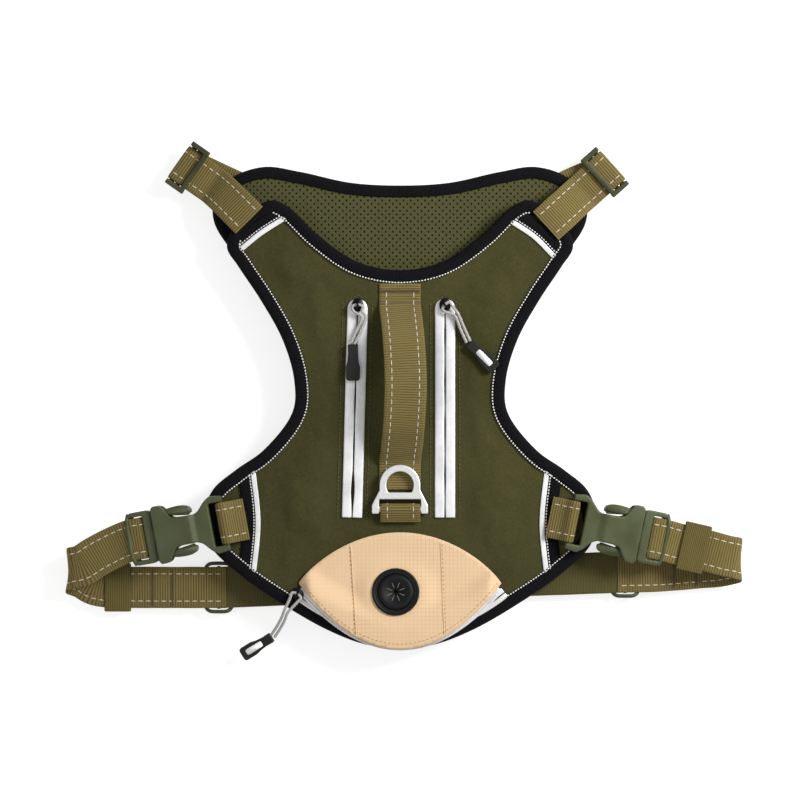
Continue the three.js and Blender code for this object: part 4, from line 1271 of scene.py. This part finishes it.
def arm_cover(side, hand, node):
    """The domed side of a buckle arm, which fills the notch in the socket's edge."""
    outer = [(17.8, 11.2), (18.8, 13.4), (21.5, 14.8), (25, 15.3), (30, 15.1), (35, 14.2), (41, 12.8)]
    rim = np.vstack([spaced(spline(outer), 0.8), [(41, 10.0), (18, 10.0)]])
    centre = rim.mean(axis=0)
    local, aside = buckle_frame(side), heading(SIDES[side]["buckle"][2] + 90) * hand
    points = []
    for z, size in ((-2.7, 0.86), (-2.2, 0.95), (-1.2, 1.0), (1.2, 1.0), (2.2, 0.95), (2.7, 0.86)):
        for a, b in centre + (rim - centre) * [size * 0.02 + 0.98, size]:
            points.append(local(a, z) + aside * b)
    piece(f"{node}_cover", np.array(points), rings(6, len(rim)), LOOKS["plastic"], node, (),
          "green_plastic")


# ---- Cords ----
def loop(eye, via, end, way):
    """A doubled cord from a pull, through a slider's eye and back to the pull."""
    line = [np.array(end, float), *(np.array(p, float) for p in via)]
    eye, back = np.array(eye, float), -np.array(way)

    def strand(hand):
        made = []
        for i, p in enumerate(line):
            after = line[i + 1] if i + 1 < len(line) else eye
            along = after - line[max(i - 1, 0)]
            along = unit(np.array([along[0], along[1], 0.0]))
            made.append(p + np.array([-along[1], along[0], 0.0]) * hand * 1.2)
        return made

    aside = np.array([-way[1], way[0], 0.0])
    turn = lambda hand: [eye + aside * hand * 2.6 + back * 3.6, eye + aside * hand * 3.1 + back * 0.9,
                         eye + aside * hand * 1.4]
    return np.array([*strand(1), *turn(1), *turn(-1)[::-1], *strand(-1)[::-1]])


def cord(name, points, node, body):
    """One open spline with a round section."""
    line = spaced(spline(points), 0.7)
    curve = bpy.data.curves.new(name, "CURVE")
    curve.dimensions = "3D"
    curve.bevel_depth = CORD / 2 * MM
    curve.bevel_resolution = 4
    curve.use_fill_caps = True
    made = curve.splines.new("POLY")
    made.points.add(len(line) - 1)
    for point, place in zip(made.points, row(line)):
        point.co = (*place, 1)
    made.use_smooth = True
    curve.materials.append(LOOKS["cord"])
    item = linked(name, curve)
    settle_on(item, body, (node,))


def pull_cords():
    middle = FACE + ZIP["thick"] + 0.5 + PULL_THICK / 2
    for side, place in SIDES.items():
        base, along, _ = zip_frame(side)
        eye = base + along * (ZIP["start"] - ZIP["low"])
        via = place["pull"]["via"]
        points = loop((*eye, EYE), [(*via[1], middle + 0.2), (*via[0], EYE)],
                      (*place["pull"]["end"], middle), heading(90 + place["pull"]["turn"]))
        cord(f"zip_cord_{side}_round", points, f"zip_cord_{side}", f"zip_pull_{side}")
    eye = (*pocket_zip_rest(), EYE)
    via = [(-73.4, -137.4, 13.8), (-70.2, -131.6, 17.6), (-68.4, -127, 20.2)]
    points = loop(eye, via, (-76.4, -142, 11.4), heading(60))
    cord("pocket_zip_cord_round", points, "pocket_zip_cord", "pocket_zip_pull")


# ---- Straps ----
def handle():
    z = FACE + WEB_THICK / 2
    span = HANDLE["free"] - HANDLE["low"]
    path = [(0, HANDLE["top"] + 0.9, z), (0, HANDLE["free"] + 4, z)]
    shares = [(0, 0.03), (0.1, 0.36), (0.25, 0.78), (0.5, 1), (0.75, 0.78), (0.9, 0.36), (1, 0.03)]
    for share, high in shares:
        x = HANDLE["lean"] * math.sin(math.pi * share)
        path.append((x, HANDLE["free"] - span * share, z + HANDLE["rise"] * high))
    path += [(0, HANDLE["low"] - 5, z), (0, HANDLE["end"], z)]
    strip = Strip(path, [(1, 0, 0)] * len(path))
    strap("grab_handle_web", "grab_handle_stitches", strip, WEB_WIDTH, LOOKS["handle"], "root",
          "grab_handle", 2.5)
    for k, y in enumerate(HANDLE_BARTACKS):
        bartack(f"handle_bartack_{k}", np.array([0, y, z + WEB_THICK / 2]), 0, 24.0)


def bartack(name, middle, turn, width, body="root", long=2.2):
    """A dense zigzag of thread across a strap."""
    across, along = heading(turn), heading(turn + 90)
    runs = []
    for k in range(int(width / 0.5)):
        at = middle + across * (-width / 2 + 0.5 * (k + 0.5)) + np.array([0, 0, 0.05])
        slant = 0.3 if k % 2 else -0.3
        a, b = at - along * long / 2 - across * slant, at + along * long / 2 + across * slant
        line = np.array([a, (a + b) / 2 + np.array([0, 0, 0.1]), b])
        runs.append((line, np.tile([0.0, 0.0, 1.0], (3, 1))))
    return threads(name, runs, LOOKS["brown_thread"], body, "webbing", long * 0.98, long, 0.5, 0.25)


def ring_loop():
    axis, bend = RING["axis_y"], RING["bar"] / 2 + GAP + WEB_THICK / 2
    z = RING_Z - bend
    path = [(axis - 7.6, z), (axis - 3, z), (axis, z)]
    path += [(axis + a, RING_Z + b) for a, b in arc(bend, -60, -30, 0, 30, 60)]
    path += [(axis, RING_Z + bend), (axis - 3.2, RING_Z + bend - 1.1), (axis - 7.6, z + 1.9)]
    line = [(0.2, y, high) for y, high in path]
    strip = Strip(line, [(1, 0, 0)] * len(line))
    strap("ring_loop_web", "ring_loop_stitches", strip, WEB_WIDTH - 0.8, LOOKS["web"], "root",
          "ring_loop", 1.0)


def shoulders():
    bend = GLIDE_BAR / 2 + GAP + WEB_THICK / 2
    over = BACK_TOP + GAP + WEB_THICK / 2 + 0.5
    top = SHOULDER_TOP
    low = top - 2 * bend
    for side, place in SIDES.items():
        x, y, turn = place["fold"]
        out = heading(turn)
        fold = np.array([x, y, 0.0])
        path = [np.array([*p, z]) for p, z in zip(place["start"], (over, over, 13.8))]
        start = len(path)
        path += [fold + out * d + [0, 0, top] for d in (-22, -16, -10)]
        path += [fold + out * a + [0, 0, top - bend + b] for a, b in arc(bend, 90, 50, 0, -50, -90)]
        folded = len(path)
        path += [np.array([*p, z]) for p, z in zip(place["under"], (low, low - 0.4, low - 0.4))]
        across = []
        for i in range(len(path)):
            way = path[min(i + 1, len(path) - 1)] - path[max(i - 1, 0)]
            turned = unit(way * [1, 1, 0]) if i < start or i >= folded else out
            aside = np.array([-turned[1], turned[0], 0.0])
            across.append(-aside if i >= folded else aside)
        strip = Strip(path, across).cut(TRIM + 1.4)
        strap(f"shoulder_strap_{side}_web", f"shoulder_stitches_{side}", strip, SHOULDER_WIDTH,
              LOOKS["web"], "root", f"shoulder_strap_{side}", 1.5, under=False)


def socket_loops():
    bend = BUCKLE_BAR / 2 + GAP + WEB_THICK / 2
    sewn = BACK_TOP + GAP + WEB_THICK / 2
    profile = [(-13.6, sewn), (-6, sewn + 0.7), (-1.2, BUCKLE_Z - bend)]
    profile += [(a, BUCKLE_Z + b) for a, b in arc(bend, -60, -20, 20, 60)]
    profile += [(-1.2, BUCKLE_Z + bend), (-6, sewn + 3.6), (-13.6, sewn + WEB_THICK + GAP)]
    for side, place in SIDES.items():
        x, y, turn = place["buckle"]
        out = heading(turn)
        path = [np.array([x, y, z]) + out * d for d, z in profile]
        strip = Strip(path, [(-out[1], out[0], 0)] * len(path))
        strap(f"socket_loop_{side}_web", f"socket_loop_stitches_{side}", strip, WEB_WIDTH,
              LOOKS["web"], "root", f"socket_loop_{side}", 0.6)


def buckle_frame(side):
    """The buckle's own axes: a function from its lengthwise place and height to a point."""
    x, y, turn = SIDES[side]["buckle"]
    out, drop = heading(turn), math.radians(BUCKLE_DROP)
    base = np.array([x, y, BUCKLE_Z])
    along = out * math.cos(drop) - np.array([0, 0, math.sin(drop)])
    up = out * math.sin(drop) + np.array([0, 0, math.cos(drop)])
    return lambda a, b: base + along * a + up * b


def belly_straps():
    """Each strap from its plug's bar out to the curl at the side, and under it to the return."""
    bend, bar = BUCKLE_BAR / 2 + GAP + WEB_THICK / 2, PLUG_BAR_AT
    centre, high = WEB_REST + CURL, WEB_REST + 2 * CURL
    for side, place in SIDES.items():
        local, sign, out = buckle_frame(side), place["sign"], heading(place["buckle"][2])
        path = [local(bar + 8.5, -2.2), local(bar + 4, -2.5), local(bar, -bend)]
        path += [local(bar + a, b) for a, b in arc(bend, -130, -180, 130)]
        path += [local(bar, bend), local(bar + 6, 2.5)]
        across = [(-out[1] * sign, out[0] * sign, 0)] * len(path)
        front = place["front"]
        path += [(*p, high + lift) for p, lift in zip(front, (0.5, 0, 0))]
        across += [((0.28 - 0.06 * i) * sign, 0.96, 0) for i in range(len(front))]
        (tx, ty), (hx, hy), (lx, ly) = place["curl"], front[-1], place["low"]
        path += [(hx + (tx - hx) * 0.75, (hy + ty) / 2, centre + CURL * 0.72), (tx, ty, centre),
                 (lx + (tx - lx) * 0.75, (ly + ty) / 2, centre - CURL * 0.72), (lx, ly, WEB_REST)]
        path += [(*p, WEB_REST) for p in place["tail"]]
        across += [(c * sign, 1.0, 0) for c in (0.1, 0.02, 0, -0.02, -0.02, -0.02)]
        strap(f"belly_strap_{side}_web", f"belly_strap_stitches_{side}", Strip(path, across),
              WEB_WIDTH, LOOKS["web"], f"buckle_plug_{side}", f"belly_strap_{side}", 0.8)


def belly_returns():
    """The run back under the chest, from the belly strap's tail to its slide."""
    for side, place in SIDES.items():
        back, sign = place["back"], place["sign"]
        path = [(*place["tail"][-1], WEB_REST), (*back[2], WEB_REST)]
        path += [(*p, GLIDE_REST) for p in back[3:]]
        (x, y) = back[-1]
        path.append((x - sign * 4.4, y, GLIDE_REST + 0.9))
        strip = Strip(path, [(0, -sign, 0)] * len(path))
        marks = strap(f"belly_return_{side}_web", f"belly_return_stitches_{side}", strip, WEB_WIDTH,
                      LOOKS["web"], None, f"belly_return_{side}", 0.8)
        for k, x in enumerate(place["bartacks"]):
            y, z = picked(abs(x), np.abs(strip.line[::-1, 0]), strip.line[::-1, 1:])
            middle = np.array([x, y, z + WEB_THICK / 2])
            marks.append(bartack(f"belly_bartack_{side}_{k}", middle, 90, 22.0, None))
        for mark in marks:
            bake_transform(mark)


def belly_web():
    (lx, ly), (rx, ry) = SIDES["left"]["back"][-1], SIDES["right"]["back"][-1]
    flat = WEB_THICK / 2
    stops = [(lx + 0.6, GLIDE_REST), (-86, GLIDE_REST), (-78, 3), (-70, 1.4), (-62, flat),
             (-40, flat), (40, flat), (66, flat), (76, 1.4), (88, 3), (100, GLIDE_REST),
             (rx - 0.6, GLIDE_REST)]
    path = [(x, ly + (ry - ly) * (x - lx) / (rx - lx), z) for x, z in stops]
    strip = Strip(path, [(0, 1, 0)] * len(path), 0.35)
    webbing("belly_web_plain", strip, WEB_WIDTH, LOOKS["plain_web"], "root", ("belly_web",), 0.1, 0.9)


def keepers():
    """Sleeves of flat webbing, ribbed across the strap, that hold the spare end down."""
    length, thick, rounding = KEEPER["length"], KEEPER["thick"], KEEPER["rounding"]
    stations = np.linspace(-length / 2, length / 2, 97)
    round_in = np.sqrt(np.clip(1 - np.abs(stations / (length / 2)) ** 16, 0.1, 1))
    for side, place in SIDES.items():
        x, y, turn, on_return = place["keeper"]
        middle = np.array([x, y, WEB_REST if on_return else WEB_REST + 2 * CURL + 0.6])
        w, h = WEB_WIDTH / 2 + 1.4, WEB_THICK / 2 + GAP + (0 if on_return else 1)
        inner = []
        for a, b, angle in ((w - 1, h, 0), (1 - w, h, 90), (1 - w, -h, 180), (w - 1, -h, 270)):
            flat = math.copysign(max(h - rounding, 0.1), b)
            for k in range(5):
                bent = math.radians(angle + 90 * k / 4)
                inner.append((a + math.cos(bent), flat + rounding * math.sin(bent)))
        inner = np.array(inner)
        out, aside = heading(turn), heading(turn + 90)
        points, uv = [], []
        for s, r in zip(stations, round_in):
            rib = KEEPER["rib"] * (1 - abs(math.sin(math.pi * s / KEEPER["pitch"])) ** 0.7)
            outer = inner + np.sign(inner) * thick * r * [0.9, 1] - np.copysign(rib, inner)
            for a, b in [*outer, *(inner[::-1] + [0.02, 0])]:
                points.append(middle + out * s + aside * a + [0, 0, b])
                uv.append((s, a))
        body = "root" if on_return else f"buckle_plug_{side}"
        piece(f"keeper_sleeve_{side}", np.array(points), sleeve_faces(len(stations), len(inner)),
              LOOKS["sleeve"], body, (f"strap_keeper_{side}",), "webbing", np.array(uv))


def sleeve_faces(stations, count):
    """Faces of an open-ended sleeve whose rings run once round outside and once back inside."""
    around = 2 * count
    inner = lambda ring, k: ring * around + around - 1 - k
    faces = []
    for i in range(stations - 1):
        for k in range(count):
            n = (k + 1) % count
            a, b, c, d = i * around + k, i * around + n, (i + 1) * around + n, (i + 1) * around + k
            faces += [(a, b, c, d), (inner(i, n), inner(i, k), inner(i + 1, k), inner(i + 1, n))]
    for i in (0, stations - 1):
        for k in range(count):
            n = (k + 1) % count
            faces.append((i * around + k, i * around + n, inner(i, n), inner(i, k)))
    return faces


# ---- Pocket ----
def pocket_lift(x, y):
    distance = np.hypot(x, y - POCKET_ZIP["y"])
    radial = smoothstep(distance, 77, 91.5)
    return POCKET["rise"] * radial * (1 - smoothstep(np.abs(x), 53, POCKET["tip"]))


def port_frame():
    x, y = PORT["x"], PORT["y"]
    tilt = math.radians(PORT["tilt"])
    z = FACE + GAP + PORT["radius"] * math.sin(tilt)
    return np.array([x, y, z]), tilt


def tilted(points, base, tilt):
    """Points tipped down towards the pocket's lower edge, and moved to base."""
    x, y, z = np.moveaxis(points, -1, 0)
    cos, sin = math.cos(tilt), math.sin(tilt)
    return np.stack([x, y * cos + z * sin, -y * sin + z * cos], axis=-1) + base


def flap_height(x, y):
    """The pocket front's top: its lifted lip, made flat and tilted beside the port."""
    base, tilt = port_frame()
    lifted = FACE + POCKET["thick"] + pocket_lift(x, y)
    away = np.hypot(x - base[0], y - base[1])
    plane = base[2] + 1.9 + (base[1] - y) * math.tan(tilt)
    near = 1 - smoothstep(away, PORT["radius"] + 1, PORT["radius"] + 14)
    soft = 0.35 * waves_of(x, y, 17.0, 11.0)
    edge = smoothstep(off_outline(x, y, lens()), 1, 8)
    edge *= smoothstep(np.hypot(x, y - POCKET_ZIP["y"]), 55, 75)
    return lifted * (1 - near) + np.maximum(plane, lifted - 0.6) * near + soft * edge


def pocket():
    outline, radius = lens(0.3), PORT["radius"]
    turn = np.linspace(0, math.tau, 48, endpoint=False)
    rim = (radius - 1.4) * np.column_stack([np.cos(turn), np.sin(turn)])
    hole = np.array([PORT["x"], PORT["y"]]) + rim
    points, faces = slab(outline, 1.9, flap_height, POCKET["thick"] - 0.2, hole)[:2]
    made = piece("pocket_front", points, faces, LOOKS["sand"], "root", ("pocket_flap",), "sand_ripstop")
    pocket_seams(outline)
    pocket_zip_track()
    port()


def pocket_seams(outline):
    """The two seams down the pocket's front and the stitches beside its lower edge."""
    run = lambda line: upright(line, flap_height(*line.T) + 0.08)
    stitch = (LOOKS["tan_thread"], "root", "sand_ripstop", 1.5, 2.6, 0.42, 0.16)
    seams = []
    for side, (top_x, low_x) in zip(SIDES, FLAP_SEAMS):
        _, top_y = pocket_line(top_x / POCKET["tip"], "top")
        _, low_y = pocket_line(low_x / POCKET["tip"], "bottom")
        line = spaced(np.array([(top_x, top_y - 1.5), (low_x, low_y + 1.5)]), 1.0)
        seams.append(run(line + np.array([math.copysign(0.8, top_x), 0])))
        round_line(f"pocket_fold_{side}", run(line)[0] + [0, 0, 0.02], 0.34, LOOKS["sand"], "root",
                   (), "sand_ripstop")
    threads("pocket_seams", seams, *stitch)
    lower = np.column_stack(pocket_line(np.linspace(-0.97, 0.97, 120), "bottom")) + [0, 3.0]
    threads("pocket_edge_stitches", [run(spaced(lower[within(*lower.T, outline)], 1.0))], *stitch)


def pocket_zip_track():
    half, radius, width = POCKET_ZIP["half_angle"], POCKET_ZIP["radius"], POCKET_ZIP["width"]
    angles = np.radians(np.linspace(-half, half, 120))
    line = radius * np.column_stack([np.sin(angles), -np.cos(angles)]) + [0, POCKET_ZIP["y"]]
    film, low = (LOOKS["film"], "reflective"), FACE + 0.05
    flat_ribbon("pocket_zip_lip_0", line, -width / 2, -0.35, low, 0.7, *film, ("pocket_zip_tape",), 0.3)
    flat_ribbon("pocket_zip_lip_1", line, 0.35, width / 2, low, 0.7, *film, (), 0.3)
    flat_ribbon("pocket_zip_slit", line, -0.9, 0.9, FACE + 0.03, 0.3, LOOKS["dark"], "black_metal")
    share = np.linspace(-0.97, 0.97, 160)
    edge = np.column_stack(pocket_line(share, "bottom"))
    wide = 1.6 + 2.9 * np.abs(share) ** 1.6
    rim = zip_rim(offset_line(edge, 0.5 - wide / 2), wide / 2)
    piece("pocket_zip_border", *rim, film[0], "root", (), film[1])


def lathe(profile, base, tilt, steps=64):
    """Points and faces of a closed ring about a tilted axis."""
    turn = np.linspace(0, math.tau, steps, endpoint=False)[:, None]
    radius, high = np.array(profile).T
    level = np.stack(np.broadcast_arrays(radius * np.cos(turn), radius * np.sin(turn), high), axis=-1)
    return tilted(level, base, tilt).reshape(-1, 3), rings(steps, len(profile), closed=True)


def port():
    """The rubber port: a stepped ring, and a membrane with slits that meet at its middle."""
    base, tilt = port_frame()
    r, bore, h = PORT["radius"], PORT["bore"], PORT["height"]
    ring = [(bore, 0.2), (r - 0.4, 0.2), (r, 0.8), (r, h - 1.9), (r - 0.3, h - 1.3),
            (r - 0.9, h - 1.1), (r - 1.3, h - 1.2), (r - 1.7, h - 1.5), (bore + 0.9, h - 1.5),
            (bore + 0.4, h - 1.3), (bore, h - 1.6)]
    disc = [(0.9, h - 2.9), (bore - 0.3, h - 2.7), (bore - 0.3, h - 1.7), (9.2, h - 1.75),
            (8.6, h - 1.5), (7.9, h - 1.8), (0.9, h - 2.0)]
    for name, profile, node in (("port_ring", ring, "port_grommet"), ("port_disc", disc, "port_membrane")):
        points, faces = lathe(profile, base, tilt)
        piece(name, points, faces, LOOKS["port"], "root", (node,), "rubber_black")
    slits = []
    for k in range(8):
        line = np.outer(np.linspace(1.6, 8.0, 12), heading(45 * k + 22.5)) + [0, 0, h - 1.95]
        up = np.tile([0.0, math.sin(tilt), math.cos(tilt)], (12, 1))
        slits.append((tilted(line, base, tilt), up))
    threads("port_slits", slits, LOOKS["slit"], "root", "rubber_black", 5.4, 9, 0.7, 0.12)


# ---- The vest ----
studio()
panels()
edges()
corner_bands()
zips()
hard_parts()
pull_cords()
handle()
ring_loop()
shoulders()
socket_loops()
belly_straps()
belly_returns()
belly_web()
keepers()
pocket()
